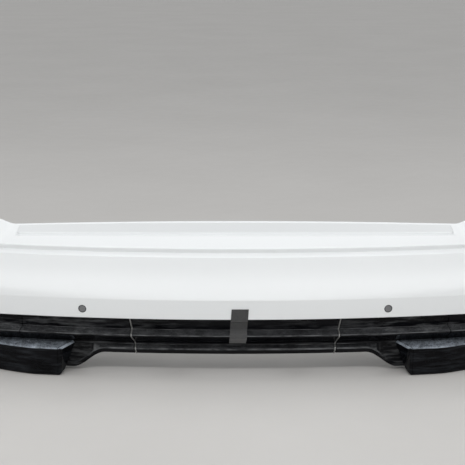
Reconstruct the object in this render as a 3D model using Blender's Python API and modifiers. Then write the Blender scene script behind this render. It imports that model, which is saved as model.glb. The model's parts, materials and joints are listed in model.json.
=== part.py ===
"""Rear bumper cover of a people carrier, as an assembly of separate pieces.

Frame: metres, +Z up, +X to the vehicle's right, +Y forward. The rear faces -Y.
The origin is the bottom centre of the whole assembly, which stands on its wings.
The pieces are first laid out from the middle of the rear face, then moved together.

The skin pieces are lofts along one plan curve. A point on them is given by
  arc     the distance along the plan curve from the middle of the rear,
  depth   how far it lies inboard of that curve,
  height  its Z.
"""
import math

import bmesh
import bpy
import numpy as np
from mathutils import Matrix, Vector

# ---------------------------------------------------------------- driving sizes
GAP = 0.0003                  # kept between pieces that touch
WALL = 0.003                  # moulded skins
SEAM = 0.0016                 # visible joint between neighbouring skins
CUT_PAST = 0.010              # how far a cutter runs past the face it opens

BOW_RADIUS = 3.4              # plan radius of the rear face
CORNER_START = 0.56           # arc where the corner begins to turn
CORNER_LENGTH = 0.54          # arc length of the corner
CORNER_TURN = math.radians(65.5)
SIDE_LEAD = 0.08              # the side's section is reached this far before the corner ends

ARCH_RADIUS = 0.38            # wheel arch, in side view
ARCH_Y = 0.88
ARCH_Z = 0.08
ARCH_FLANGE = 0.022           # inward flange round the arch and along the edges

# Upper cover, heights stacked from the lower painted edge.
LIP_Z = 0.1498
LOWER_FACET = 0.0504
MAIN_FACE = 0.1049
SHOULDER_RISE = 0.0083
RISER = 0.0121
LEDGE_RISE = 0.0212
PAD_STEP = 0.0045
PAD_SLOPE = 0.22
SHOULDER_DEPTH = 0.018
FACE_CROWN = 0.0015
LIP_DEPTH = 0.004
PAD_FRONT_DEPTH = 0.0865
PAD_DEPTH = 0.058
EDGE_BEAD = 0.003
PAD_STRAIGHTEN = 0.8          # share of the bow by which the back edge runs straight
PAD_FRONT_STRAIGHTEN = 0.36   # and the same for the pad's front edge
BOW_LIMIT = 0.05              # bow beyond which the edges follow the plan again
GROOVE_LEAN = 0.0025
LEDGE_FRONT_DEPTH = 0.026
RISER_FOOT_DEPTH = 0.031
BEAD_FRONT = 0.0030           # the bead along the top edge, behind the pad's back edge
BEAD_BACK = 0.0070
HEM_BACK = 0.0085             # the hem that hangs behind the bead
HEM_DROP = 0.008
SIDE_EDGE_DEPTH = 0.012       # the side's top edge
SIDE_BEAD_DEPTHS = (0.0115, 0.011)
SIDE_BEAD_DROP = 0.003        # step between the side's topmost rows
SIDE_UPPER_DEPTHS = (0.009, 0.008)
SIDE_UPPER_STEP = 0.012
SIDE_WAIST_DEPTH = 0.006
SIDE_SHOULDER_DEPTH = 0.004
SIDE_FACE_DEPTH = 0.002
SIDE_BLEND_START = 0.60       # arc where the rear's section begins to turn into the side's
CURL_START = 0.582            # arc where the top edge curls up under the lamp
CURL_END = 0.640
CURL_RISE = 0.012
SIDE_TOP_Z = 0.405

# Lower valance.
VALANCE_EDGE_DEPTH = 0.012
FACET_A_FOOT_DEPTH = 0.018
SIDE_FOOT_DRAW = 0.004        # how far the facet's foot comes out round the side
SIDE_RIDGE_DRAW = 0.012       # how far the ridge goes in
RIDGE_NOSE_DEPTH = 0.002
RIDGE_NOSE = 0.0045
LIP_BEAD_DEPTHS = (0.016, 0.013)
LIP_BEAD = 0.005
BOTTOM_DEPTH = 0.020
DROP_DEPTHS = (0.020, 0.021, 0.017)  # how far those rows go in where the edge has fallen
VALANCE_BLEND_START = 0.62
FACET_A_FOOT_Z = 0.1193
RIDGE_TOP_Z = 0.1125
RIDGE_FRONT = -0.008
RECESS_Z = 0.0803
RECESS_DEPTH = 0.030
LIP_BEAD_Z = 0.0715
BOTTOM_Z = 0.0557
DROP_START = 0.330            # arc where the lower edge begins to fall to the wing
DROP_END = 0.418
DROP = 0.048

SEAM_TOP_ARC = 0.266          # access panel half width at its top edge
SEAM_FOOT_ARC = 0.2512        # and at its bottom edge
OUTER_SEAM_ARC = 0.540

# Wings.
WING_TOP_Z = 0.0812
WING_EDGE_Z = 0.0714
WING_FRONT = -0.018
WING_CLEAR = 0.0025           # between the wing's back edge and the recess behind it
WING_TAPER = 0.027            # how far the front edge draws in round the corner
WING_TAPER_ARCS = (0.50, 0.66)
WING_EDGE = 0.004             # bevel along the top front edge
WING_FACE_DRAW = 0.006        # how far the face leans in to its foot
WING_FOOT = (0.009, 0.004)    # the bevel along the foot: its depth and height
WING_END_CLEAR = 0.020        # between the wing and the wheel arch
WING_INNER_BACK = 0.4085      # arcs of the leaning inner end
WING_INNER_FRONT = 0.434
WING_INNER_FOOT = 0.4363

# Loft stations.
COVER_COLUMNS = (11, 17)      # across the rear, and round the corner
CORNER_STEP = 0.02            # between those two runs of columns
COVER_SIDE_SHARES = (0.34, 0.67, 1.0)
LOWER_SIDE_SHARES = (0.5, 1.0)
LOWER_COLUMNS = 15
CORNER_COLUMNS = 16
WING_RINGS = 22
BEAM_RINGS = 21
ABSORBER_RINGS = 17
RAIL_RINGS = 15
BRACKET_RINGS = 6
REFLECTOR_RINGS = 13

# Parking sensors.
SENSOR_ARCS = (0.380, 0.800)
SENSOR_SHARE = 0.54           # place down the lower facet
SENSOR_RADIUS = 0.0080
RING_WIDTH = 0.0016
RING_BEVEL = 0.0004
RING_PAST = 0.0002            # behind the cover's wall
SENSOR_FLANGE = 0.0131
SENSOR_BODY = 0.024
HOLDER_WALL = 0.002
HOLDER_PLATE = 0.0192
HOLDER_SLEEVE = 0.014
HOLDER_BORE_CLEAR = 0.0006
SENSOR_BEVEL = 0.0006
SENSOR_STEP = (0.003, 0.001)  # chamfer at the back of the sensor's body
SEAT_CLEAR = 0.0004
CURVE_ALLOWANCE = 0.9         # room for the flat plate behind the curved wall
SOCKET_WALL = 0.002
SOCKET_SIZE = (0.016, 0.011, 0.016)
SOCKET_DROP = 0.006           # middle of the socket behind the body's back
SOCKET_MOUTH = (0.012, 0.0085)  # depth of its mouth, and the mouth's middle

# Reflectors in the corner extensions.
REFLECTOR_FROM = 0.665
REFLECTOR_TO = 0.795
REFLECTOR_RIM = 0.002         # between the lens and the skin's return flanges
REFLECTOR_THICK = 0.005
REFLECTOR_PROUD = 0.0010
BACKING_THICK = 0.0027
BACKING_GROW = 0.0015         # how far the backing reaches past the lens all round
WINDOW_GROW = 0.0006          # clearance of the window round the lens
WINDOW_AHEAD = 0.006

# Crash structure.
BEAM_HALF_ARC = 0.60
BEAM_FRONT = 0.078
BEAM_DEPTH = 0.050
BEAM_HEIGHT = 0.088
BEAM_WALL = 0.003
BEAM_LIFT = 0.010             # beam bottom above the crease of the cover
ABSORBER_CLEAR = 0.006
ABSORBER_INSET = 0.004        # absorber above and below, within the beam's height
ABSORBER_END = 0.020          # and short of the beam's ends
CRASH_BOX_ARC = 0.42
CRASH_BOX_HALF = 0.036
CRASH_BOX_WALL = 0.0025
PLATE_Y = 0.270
PLATE_HALF = 0.062
PLATE_THICK = 0.006
BOLT_OFFSET = 0.050
BOLT_RADIUS = 0.005

# Brackets.
RAIL_HALF_ARC = 0.48
RAIL_FRONT = 0.100
RAIL_BACK_Y = 0.166
RAIL_THICK = 0.002
RAIL_DROP = 0.034
RAIL_CLEAR = 0.005            # under the skin of the pad
BRACKET_CLEAR = 0.004         # behind the skin of the side
BRACKET_HEIGHT = 0.045
BRACKET_DEPTH = 0.030
BRACKET_THICK = 0.0025
BRACKET_END = 0.045           # short of the wheel arch
BRACKET_TOP_CLEAR = 0.006
STAY_X = 0.150
STAY_WIDTH = 0.044
STAY_THICK = 0.003
STAY_Y = 0.096
TURN_Y = 0.044
TURN_SHANK = 0.004
TURN_HEAD = 0.011
TURN_HEAD_THICK = 0.0035
TURN_BAR = (0.020, 0.0062, 0.0038)
TURN_GROOVE = (0.014, 0.0022, 0.003)
TURN_CLEAR = 0.0008           # round the shank, in the slot of the stay
STAY_CLEAR = 0.003            # stay's foot above the panel's bottom flange
STAY_REACH = 0.020            # foot ahead of the fastener

# Two-piece push clips on the wheel-arch flanges.
CLIP_HOLE = 0.0042
CLIP_HEAD = 0.0082
CLIP_LENGTH = 0.014
CLIP_HEIGHTS = (0.250, 0.090)
CLIP_SHARE = 0.55             # place across the flange
CLIP_BORE = 0.0022
CLIP_HEAD_TOP = 0.0030
CLIP_HEAD_EDGE = 0.0008
CLIP_SEAT = 0.0012
PIN_RADIUS = 0.0019
PIN_HEAD = 0.0052
PIN_HEAD_EDGE = 0.0006
PIN_TOP = 0.0050
PIN_SEAT = 0.0033
PIN_TIP = 0.002

# Strap and seam strips.
STRAP_WIDTH = 0.0423
STRAP_THICK = 0.0016
STRAP_TOP_Z = 0.178
STRAP_END_SHARE = 0.86        # how far down the recess the strap reaches
STRAP_X_TOP = 0.0121
STRAP_X_FOOT = 0.0054
STRIP_WIDTH = 0.0034
STRIP_THICK = 0.0012
STRIP_INSET = 0.0005          # from the panel's edge

SCREW_RADIUS = 0.0025
SCREW_HEAD = 0.0065
WING_SCREW_ARCS = (0.50, 0.82)
SCREW_LENGTH = 0.010          # above the flange, with its point
SCREW_POINT = 0.004
SCREW_SINK = 0.0004

# ---------------------------------------------------------------- derived sizes
SIDE_START = CORNER_START + CORNER_LENGTH - SIDE_LEAD
REFLECTOR_MARGIN = WALL + REFLECTOR_RIM
CREASE_Z = LIP_Z + LOWER_FACET
SHOULDER_Z = CREASE_Z + MAIN_FACE
RISER_FOOT_Z = SHOULDER_Z + SHOULDER_RISE
LEDGE_FRONT_Z = RISER_FOOT_Z + RISER
GROOVE_Z = LEDGE_FRONT_Z + LEDGE_RISE
PAD_FRONT_Z = GROOVE_Z + PAD_STEP
VALANCE_TOP_Z = LIP_Z - 0.0013
BEAM_Z = CREASE_Z + BEAM_LIFT
BEAM_TOP_Z = BEAM_Z + BEAM_HEIGHT
RING_RADIUS = SENSOR_RADIUS + GAP + RING_WIDTH
HOLE_RADIUS = RING_RADIUS + GAP
CREASE_ROW = 11               # row of the crease in the cover's section


# ---------------------------------------------------------------- scene helpers
def clear_scene():
    for thing in list(bpy.data.objects):
        bpy.data.objects.remove(thing, do_unlink=True)


def new_collection(name):
    group = bpy.data.collections.new(name)
    bpy.context.scene.collection.children.link(group)
    return group


def make_material(name, colour, roughness, metallic=0.0):
    surface = bpy.data.materials.new(name)
    surface.use_nodes = True
    shader = surface.node_tree.nodes["Principled BSDF"]
    shader.inputs["Base Color"].default_value = (*colour, 1.0)
    shader.inputs["Roughness"].default_value = roughness
    shader.inputs["Metallic"].default_value = metallic
    return surface


def add_piece(name, mesh, surface, group=None):
    thing = bpy.data.objects.new(name, mesh)
    (group or PARTS).objects.link(thing)
    if surface and not mesh.materials:
        mesh.materials.append(surface)
    return thing


def finish_bmesh(bm, name, fix_normals=True):
    bmesh.ops.remove_doubles(bm, verts=bm.verts, dist=0.00001)
    if fix_normals:
        bmesh.ops.recalc_face_normals(bm, faces=bm.faces)
    mesh = bpy.data.meshes.new(name)
    bm.to_mesh(mesh)
    bm.free()
    return mesh


def evaluated_mesh(thing, name):
    """The thing's mesh with its modifiers applied; the thing itself is removed."""
    bpy.context.view_layer.update()
    graph = bpy.context.evaluated_depsgraph_get()
    mesh = bpy.data.meshes.new_from_object(thing.evaluated_get(graph))
    mesh.name = name
    bpy.data.objects.remove(thing, do_unlink=True)
    return mesh


def boolean(target, other, operation):
    step = target.modifiers.new(operation.title() + " " + other.name, "BOOLEAN")
    step.operation = operation
    step.object = other
    step.solver = "EXACT"


def as_cutter(thing):
    thing.hide_render = True
    thing.display_type = "WIRE"
    return thing


def cut(target, cutter):
    boolean(target, as_cutter(cutter), "DIFFERENCE")


def solidify(thing, wall, outward=False):
    step = thing.modifiers.new("Wall", "SOLIDIFY")
    step.thickness = wall
    step.offset = 1.0 if outward else -1.0
    step.use_even_offset = True
    step.use_rim = True


def axis_matrix(point, outward):
    """A frame at the point whose local +Z is the outward direction."""
    turn = Vector(outward).to_track_quat("Z", "Y").to_matrix().to_4x4()
    return Matrix.Translation(point) @ turn


# ---------------------------------------------------------------- plan curve
def smooth(value, low, high):
    share = min(max((value - low) / (high - low), 0.0), 1.0)
    return share * share * (3.0 - 2.0 * share)


def plan_heading(arc):
    return arc / BOW_RADIUS + CORNER_TURN * smooth(arc, CORNER_START, CORNER_START + CORNER_LENGTH)


def integrate_plan(step=0.001, reach=2.2):
    arcs = np.arange(0.0, reach, step)
    turns = np.array([plan_heading(arc) for arc in arcs])
    middle = 0.5 * (turns[1:] + turns[:-1])
    xs = np.concatenate(([0.0], np.cumsum(np.cos(middle)) * step))
    ys = np.concatenate(([0.0], np.cumsum(np.sin(middle)) * step))
    return arcs, xs, ys


PLAN_ARC, PLAN_X, PLAN_Y = integrate_plan()


def place(arc, depth, height):
    run = abs(arc)
    turn = plan_heading(run)
    x = float(np.interp(run, PLAN_ARC, PLAN_X)) - math.sin(turn) * depth
    y = float(np.interp(run, PLAN_ARC, PLAN_Y)) + math.cos(turn) * depth
    return Vector((math.copysign(x, arc) if arc else 0.0, y, height))


def arc_at_y(y):
    return float(np.interp(y, PLAN_Y, PLAN_ARC))


def arch_arc(height):
    """Arc at which the skin meets the wheel arch at this height."""
    rise = min(abs(height - ARCH_Z), 0.98 * ARCH_RADIUS)
    return arc_at_y(ARCH_Y - math.sqrt(ARCH_RADIUS ** 2 - rise ** 2))


def bow(arc):
    return float(np.interp(abs(arc), PLAN_ARC, PLAN_Y))


def offset_line(points, distance):
    """The open (depth, height) line moved outboard, with mitred corners."""
    normals = []
    for (d0, z0), (d1, z1) in zip(points[:-1], points[1:]):
        length = math.hypot(d1 - d0, z1 - z0)
        normals.append(((z1 - z0) / length, -(d1 - d0) / length))
    moved = []
    for index, (depth, height) in enumerate(points):
        before = normals[max(index - 1, 0)]
        after = normals[min(index, len(normals) - 1)]
        mean = (before[0] + after[0], before[1] + after[1])
        scale = 2.0 / (mean[0] ** 2 + mean[1] ** 2)
        moved.append((depth + mean[0] * scale * distance, height + mean[1] * scale * distance))
    return moved


# ---------------------------------------------------------------- sections
def cover_section(arc):
    """Painted cover from its top flange to its lower return flange."""
    run = abs(arc)
    side = smooth(run, SIDE_BLEND_START, SIDE_START)
    bend = min(bow(run), BOW_LIMIT)
    back = PAD_FRONT_DEPTH + PAD_DEPTH - PAD_STRAIGHTEN * bend
    back_z = PAD_FRONT_Z + PAD_SLOPE * (back - PAD_FRONT_DEPTH)
    draw = PAD_FRONT_STRAIGHTEN * bend
    front = PAD_FRONT_DEPTH - draw
    fall = draw * LEDGE_RISE / (PAD_FRONT_DEPTH - GROOVE_LEAN - LEDGE_FRONT_DEPTH)
    curl = CURL_RISE * smooth(run, CURL_START, CURL_END)
    upper_face = CREASE_Z + MAIN_FACE * 2 / 3
    lower_face = CREASE_Z + MAIN_FACE / 3
    rear = [
        (back + HEM_BACK, back_z - HEM_DROP + curl),
        (back + BEAD_BACK, back_z + EDGE_BEAD + curl),
        (back + BEAD_FRONT, back_z + EDGE_BEAD + curl),
        (back, back_z + curl),
        (front, PAD_FRONT_Z - fall + 0.3 * curl),
        (front - GROOVE_LEAN, GROOVE_Z - fall + 0.5 * curl),
        (LEDGE_FRONT_DEPTH, LEDGE_FRONT_Z),
        (RISER_FOOT_DEPTH, RISER_FOOT_Z),
        (SHOULDER_DEPTH, SHOULDER_Z),
        (SHOULDER_DEPTH * 2 / 3 - FACE_CROWN, upper_face),
        (SHOULDER_DEPTH / 3 - FACE_CROWN, lower_face),
        (0.0, CREASE_Z),
        (LIP_DEPTH, LIP_Z),
        (LIP_DEPTH + ARCH_FLANGE, LIP_Z),
    ]
    top = SIDE_TOP_Z
    middle = 0.5 * (top + LEDGE_FRONT_Z)
    flank = [
        (SIDE_EDGE_DEPTH + ARCH_FLANGE, top - 0.002),
        (SIDE_EDGE_DEPTH, top),
        (SIDE_BEAD_DEPTHS[0], top - SIDE_BEAD_DROP),
        (SIDE_BEAD_DEPTHS[1], top - 2 * SIDE_BEAD_DROP),
        (SIDE_UPPER_DEPTHS[0], middle + SIDE_UPPER_STEP),
        (SIDE_UPPER_DEPTHS[1], middle),
        (SIDE_WAIST_DEPTH, LEDGE_FRONT_Z),
        (SIDE_WAIST_DEPTH, RISER_FOOT_Z),
        (SIDE_SHOULDER_DEPTH, SHOULDER_Z),
        (SIDE_FACE_DEPTH, upper_face),
        (0.000, lower_face),
        (0.0, CREASE_Z),
        (LIP_DEPTH, LIP_Z),
        (LIP_DEPTH + ARCH_FLANGE, LIP_Z),
    ]
    return [(a[0] + (b[0] - a[0]) * side, a[1] + (b[1] - a[1]) * side) for a, b in zip(rear, flank)]


def valance_section(arc):
    """Black lower skin from its top flange to its bottom flange."""
    run = abs(arc)
    side = smooth(run, VALANCE_BLEND_START, SIDE_START)
    drop = smooth(run, DROP_START, DROP_END)
    ridge = RIDGE_FRONT + SIDE_RIDGE_DRAW * side
    bottom = BOTTOM_DEPTH + DROP_DEPTHS[2] * drop
    return [
        (VALANCE_EDGE_DEPTH + ARCH_FLANGE, VALANCE_TOP_Z),
        (VALANCE_EDGE_DEPTH, VALANCE_TOP_Z),
        (FACET_A_FOOT_DEPTH - SIDE_FOOT_DRAW * side, FACET_A_FOOT_Z),
        (ridge + RIDGE_NOSE_DEPTH, RIDGE_TOP_Z),
        (ridge, RIDGE_TOP_Z - RIDGE_NOSE),
        (recess_depth(run), RECESS_Z),
        (LIP_BEAD_DEPTHS[0] + DROP_DEPTHS[0] * drop, LIP_BEAD_Z - DROP * drop),
        (LIP_BEAD_DEPTHS[1] + DROP_DEPTHS[1] * drop, LIP_BEAD_Z - LIP_BEAD - DROP * drop),
        (bottom, BOTTOM_Z - DROP * drop),
        (bottom + ARCH_FLANGE, BOTTOM_Z - DROP * drop),
    ]


def recess_depth(arc):
    return RECESS_DEPTH - SIDE_FOOT_DRAW * smooth(abs(arc), VALANCE_BLEND_START, SIDE_START)


def wing_section(arc):
    """Wing from its top back edge, over the front edge, to its bottom back edge."""
    front = WING_FRONT + WING_TAPER * smooth(abs(arc), *WING_TAPER_ARCS)
    back = recess_depth(arc) - WING_CLEAR
    return [
        (back, WING_TOP_Z),
        (front + WING_EDGE, WING_EDGE_Z + WING_EDGE),
        (front, WING_EDGE_Z),
        (front + WING_FACE_DRAW, WING_FOOT[1]),
        (front + WING_FOOT[0], 0.0),
        (back, 0.0),
    ]


def seam_arc(height):
    """Half width of the access panel at this height: its sides lean inwards."""
    share = (VALANCE_TOP_Z - height) / (VALANCE_TOP_Z - BOTTOM_Z)
    return SEAM_TOP_ARC + (SEAM_FOOT_ARC - SEAM_TOP_ARC) * share


# ---------------------------------------------------------------- lofted skins
def skin_mesh(name, columns, flip=False, skip=()):
    """Open quad skin. Each column holds its points from top to bottom."""
    bm = bmesh.new()
    rows = [[bm.verts.new(point) for point in column] for column in columns]
    for i in range(len(rows) - 1):
        for j in range(len(rows[0]) - 1):
            if (i, j) in skip:
                continue
            ring = [rows[i][j], rows[i][j + 1], rows[i + 1][j + 1], rows[i + 1][j]]
            corners = [corner.co for corner in ring]
            if (corners[0] - corners[3]).length < 0.00001:
                ring = ring[:3]
            face = bm.faces.new(ring[::-1] if flip else ring)
            face.smooth = True
    loose = [vert for vert in bm.verts if not vert.link_faces]
    bmesh.ops.delete(bm, geom=loose, context="VERTS")
    return finish_bmesh(bm, name, fix_normals=False)


def side_columns(section, start_arc, stations, sign):
    """Columns from an inner edge to the wheel arch, with the flange round the arch."""
    columns = []
    for share in stations:
        column = []
        for index in range(len(section(start_arc))):
            end = arch_arc(section(SIDE_START)[index][1])
            arc = start_arc + (end - start_arc) * share
            depth, height = section(arc)[index]
            column.append(place(sign * arc, depth, height))
        columns.append(column)
    columns.append(flange_column(section, sign))
    return columns


def flange_column(section, sign):
    column = []
    for depth, height in section(SIDE_START + 0.2):
        arc = arch_arc(height)
        depth, height = section(arc)[len(column)]
        column.append(place(sign * arc, depth + ARCH_FLANGE, height))
    return column


def spaced(start, stop, count):
    return [start + (stop - start) * index / (count - 1) for index in range(count)]


def make_cover():
    rear_arcs = spaced(0.0, CURL_START, COVER_COLUMNS[0])
    rear_arcs += spaced(CURL_START + CORNER_STEP, SIDE_START, COVER_COLUMNS[1])
    columns = [[place(arc, d, z) for d, z in cover_section(arc)] for arc in rear_arcs]
    for column in columns[:1]:
        for point in column:
            point.x = 0.0
    columns += side_columns(cover_section, SIDE_START, COVER_SIDE_SHARES, 1.0)
    last = len(columns) - 2
    bottom_band = len(cover_section(0.0)) - 2
    mesh = skin_mesh("bumper_cover", columns, skip={(last, 0), (last, bottom_band)})
    cover = add_piece("bumper_cover", mesh, PAINT)
    halves = cover.modifiers.new("Mirror", "MIRROR")
    halves.merge_threshold = 0.0001
    solidify(cover, WALL)
    return cover


def make_valance(side, sign):
    """Fixed lower skin between the access panel and the outer seam."""
    columns = []
    for share in spaced(0.0, 1.0, LOWER_COLUMNS):
        column = []
        for index, (_, height) in enumerate(valance_section(SEAM_TOP_ARC)):
            inner = seam_arc(height) + SEAM / 2
            arc = inner + (OUTER_SEAM_ARC - SEAM / 2 - inner) * share
            depth, height = valance_section(arc)[index]
            column.append(place(sign * arc, depth, height))
        columns.append(column)
    mesh = skin_mesh("valance_" + side, columns, flip=sign < 0)
    solidify(add_piece("valance_" + side, mesh, GLOSS_BLACK), WALL)


def make_corner(side, sign):
    """Lower skin from the outer seam round the corner to the wheel arch."""
    start = OUTER_SEAM_ARC + SEAM / 2
    arcs = spaced(start, SIDE_START, CORNER_COLUMNS)
    columns = [[place(sign * arc, d, z) for d, z in valance_section(arc)] for arc in arcs]
    columns += side_columns(valance_section, SIDE_START, LOWER_SIDE_SHARES, sign)
    last = len(columns) - 2
    bottom_band = len(valance_section(0.0)) - 2
    name = "corner_extension_" + side
    mesh = skin_mesh(name, columns, flip=sign < 0, skip={(last, 0), (last, bottom_band)})
    corner = add_piece(name, mesh, GLOSS_BLACK)
    solidify(corner, WALL)
    return corner


def make_access_panel():
    columns = []
    for share in spaced(-1.0, 1.0, LOWER_COLUMNS):
        column = []
        for index, (_, height) in enumerate(valance_section(0.0)):
            arc = (seam_arc(height) - SEAM / 2) * share
            depth, height = valance_section(arc)[index]
            column.append(place(arc, depth, height))
        columns.append(column)
    panel = add_piece("tow_access_panel", skin_mesh("tow_access_panel", columns), GLOSS_BLACK)
    solidify(panel, WALL)
    return panel


# ---------------------------------------------------------------- solid lofts
def loft_mesh(name, rings, closed_tube=None):
    """Solid through closed rings, or a tube when inner rings are given."""
    bm = bmesh.new()

    def add_walls(loops):
        for first, second in zip(loops[:-1], loops[1:]):
            for k in range(len(first)):
                n = (k + 1) % len(first)
                bm.faces.new((first[k], first[n], second[n], second[k]))

    outer = [[bm.verts.new(point) for point in ring] for ring in rings]
    add_walls(outer)
    if closed_tube is None:
        bm.faces.new(outer[0])
        bm.faces.new(outer[-1])
    else:
        inner = [[bm.verts.new(point) for point in ring] for ring in closed_tube]
        add_walls(inner)
        for out_ring, in_ring in ((outer[0], inner[0]), (outer[-1], inner[-1])):
            for k in range(len(out_ring)):
                n = (k + 1) % len(out_ring)
                bm.faces.new((out_ring[k], out_ring[n], in_ring[n], in_ring[k]))
    return finish_bmesh(bm, name)


def swept_ring(arc, outline):
    return [place(arc, depth, height) for depth, height in outline]


def box_outline(depth0, depth1, z0, z1):
    return [(depth0, z0), (depth0, z1), (depth1, z1), (depth1, z0)]


def box_mesh(name, size, centre=(0.0, 0.0, 0.0)):
    bm = bmesh.new()
    bmesh.ops.create_cube(bm, size=1.0)
    bmesh.ops.scale(bm, vec=size, verts=bm.verts)
    bmesh.ops.translate(bm, vec=centre, verts=bm.verts)
    return finish_bmesh(bm, name)


def cylinder_mesh(name, radius, length, segments=24):
    bm = bmesh.new()
    bmesh.ops.create_cone(
        bm, cap_ends=True, segments=segments, radius1=radius, radius2=radius, depth=length)
    return finish_bmesh(bm, name)


def turned_mesh(name, profile, steps=14, closed=False):
    """Turned about Z. The profile is (radius, height), down its outer side."""
    mesh = bpy.data.meshes.new(name + "_profile")
    count = len(profile)
    edges = [(k, k + 1) for k in range(count - 1)]
    if closed:
        edges.append((count - 1, 0))
    mesh.from_pydata([(radius, 0.0, height) for radius, height in profile], edges, [])
    blank = add_piece(name + "_blank", mesh, None, CUTTERS)
    turn = blank.modifiers.new("Screw", "SCREW")
    turn.steps = steps
    turn.render_steps = steps
    turn.use_merge_vertices = True
    turn.merge_threshold = 0.00002
    turn.use_normal_calculate = False
    return evaluated_mesh(blank, name)


# ---------------------------------------------------------------- wings
def wing_inner_arc(index):
    """The wing's inner end leans outboard, from its back edge over its front to its foot."""
    middle = 0.5 * (WING_INNER_BACK + WING_INNER_FRONT)
    return (WING_INNER_BACK, middle, WING_INNER_FRONT, *3 * [WING_INNER_FOOT])[index]


def make_wing(side, sign):
    """Moulded tray: a solid wing hollowed from behind, with a wall at each end."""
    outer = arch_arc(0.0) - WING_END_CLEAR
    count = len(wing_section(WING_INNER_FOOT))
    rings = []
    hollows = []
    for share in spaced(0.0, 1.0, WING_RINGS):
        arcs = [wing_inner_arc(i) + (outer - wing_inner_arc(i)) * share for i in range(count)]
        rings.append([place(sign * arcs[i], *wing_section(arcs[i])[i]) for i in range(count)])
    for share in spaced(0.0, 1.0, WING_RINGS):
        first = WING_INNER_FOOT + WALL
        arc = first + (outer - WALL - first) * share
        inside = offset_line(wing_section(arc), -WALL)
        inside[0] = (inside[0][0] + CUT_PAST, inside[0][1])
        inside[-1] = (inside[-1][0] + CUT_PAST, inside[-1][1])
        hollows.append([place(sign * arc, depth, height) for depth, height in inside])
    wing = add_piece("wing_" + side, loft_mesh("wing_" + side, rings), GLOSS_BLACK)
    hollow = loft_mesh("wing_hollow_" + side, hollows)
    cut(wing, add_piece("wing_hollow_" + side, hollow, None, CUTTERS))
    return wing


# ---------------------------------------------------------------- crash structure
def make_beam():
    arcs = spaced(-BEAM_HALF_ARC, BEAM_HALF_ARC, BEAM_RINGS)
    wall = BEAM_WALL
    outer = box_outline(BEAM_FRONT, BEAM_FRONT + BEAM_DEPTH, BEAM_Z, BEAM_TOP_Z)
    inner = box_outline(
        BEAM_FRONT + wall, BEAM_FRONT + BEAM_DEPTH - wall, BEAM_Z + wall, BEAM_TOP_Z - wall)
    mesh = loft_mesh(
        "impact_beam", [swept_ring(a, outer) for a in arcs], [swept_ring(a, inner) for a in arcs])
    add_piece("impact_beam", mesh, STEEL)


def make_absorber():
    """Foam between the beam and the cover, following the cover's main face."""
    low_z = BEAM_Z + ABSORBER_INSET
    high_z = BEAM_TOP_Z - ABSORBER_INSET
    share_low = (low_z - CREASE_Z) / MAIN_FACE
    share_high = (high_z - CREASE_Z) / MAIN_FACE
    inset = WALL + ABSORBER_CLEAR
    outline = [
        (SHOULDER_DEPTH * share_low + inset, low_z),
        (SHOULDER_DEPTH * share_high + inset, high_z),
        (BEAM_FRONT - GAP, high_z),
        (BEAM_FRONT - GAP, low_z),
    ]
    half = BEAM_HALF_ARC - ABSORBER_END
    arcs = spaced(-half, half, ABSORBER_RINGS)
    mesh = loft_mesh("energy_absorber", [swept_ring(a, outline) for a in arcs])
    add_piece("energy_absorber", mesh, FOAM)


def make_crash_box(side, sign):
    """Square tube from the back of the bowed beam to its flat mounting plate."""
    middle_z = (BEAM_Z + BEAM_TOP_Z) / 2
    start = BEAM_FRONT + BEAM_DEPTH + 2 * GAP
    rings = []
    for half in (CRASH_BOX_HALF, CRASH_BOX_HALF - CRASH_BOX_WALL):
        corners = [(-half, -half), (-half, half), (half, half), (half, -half)]
        first = [place(sign * (CRASH_BOX_ARC + u), start, middle_z + w) for u, w in corners]
        last = [Vector((point.x, PLATE_Y - GAP, point.z)) for point in first]
        rings.append([first, last])
    mesh = loft_mesh("crash_box_" + side, rings[0], rings[1])
    add_piece("crash_box_" + side, mesh, STEEL)


def make_plate(side, sign):
    """Mounting plate with four bolts to the body's rear panel."""
    centre_x = sign * place(CRASH_BOX_ARC, BEAM_FRONT + BEAM_DEPTH, 0.0).x
    middle_z = (BEAM_Z + BEAM_TOP_Z) / 2
    size = (2 * PLATE_HALF, PLATE_THICK, 2 * PLATE_HALF)
    mesh = box_mesh("mounting_plate_" + side, size)
    plate = add_piece("mounting_plate_" + side, mesh, STEEL)
    plate.location = (centre_x, PLATE_Y + PLATE_THICK / 2, middle_z)
    bolt = hex_bolt_mesh()
    number = 0
    for u in (-1, 1):
        for w in (-1, 1):
            number += 1
            spot = Vector((centre_x + u * BOLT_OFFSET, PLATE_Y, middle_z + w * BOLT_OFFSET))
            hole = add_piece(
                f"hole_{side}_{number}",
                cylinder_mesh("hole", BOLT_RADIUS + 2 * GAP, 0.03, 10), None, CUTTERS)
            hole.matrix_world = axis_matrix(spot, (0, -1, 0))
            cut(plate, hole)
            screw = add_piece(f"plate_bolt_{side}_{number}", bolt, ZINC)
            screw.matrix_world = axis_matrix(spot, (0, -1, 0))


def hex_bolt_mesh():
    """Flanged hexagon bolt, local +Z out of its head, seat at height zero."""
    if "hex_bolt" in bpy.data.meshes:
        return bpy.data.meshes["hex_bolt"]
    flange = BOLT_RADIUS * 1.9
    profile = [
        (0.0, 0.0080), (BOLT_RADIUS * 1.55, 0.0080), (BOLT_RADIUS * 1.6, 0.0020),
        (flange, 0.0016), (flange, GAP), (BOLT_RADIUS, GAP), (BOLT_RADIUS, -0.0240),
        (BOLT_RADIUS - 0.001, -0.0255), (0.0, -0.0255),
    ]
    return turned_mesh("hex_bolt", profile, steps=10)


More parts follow.
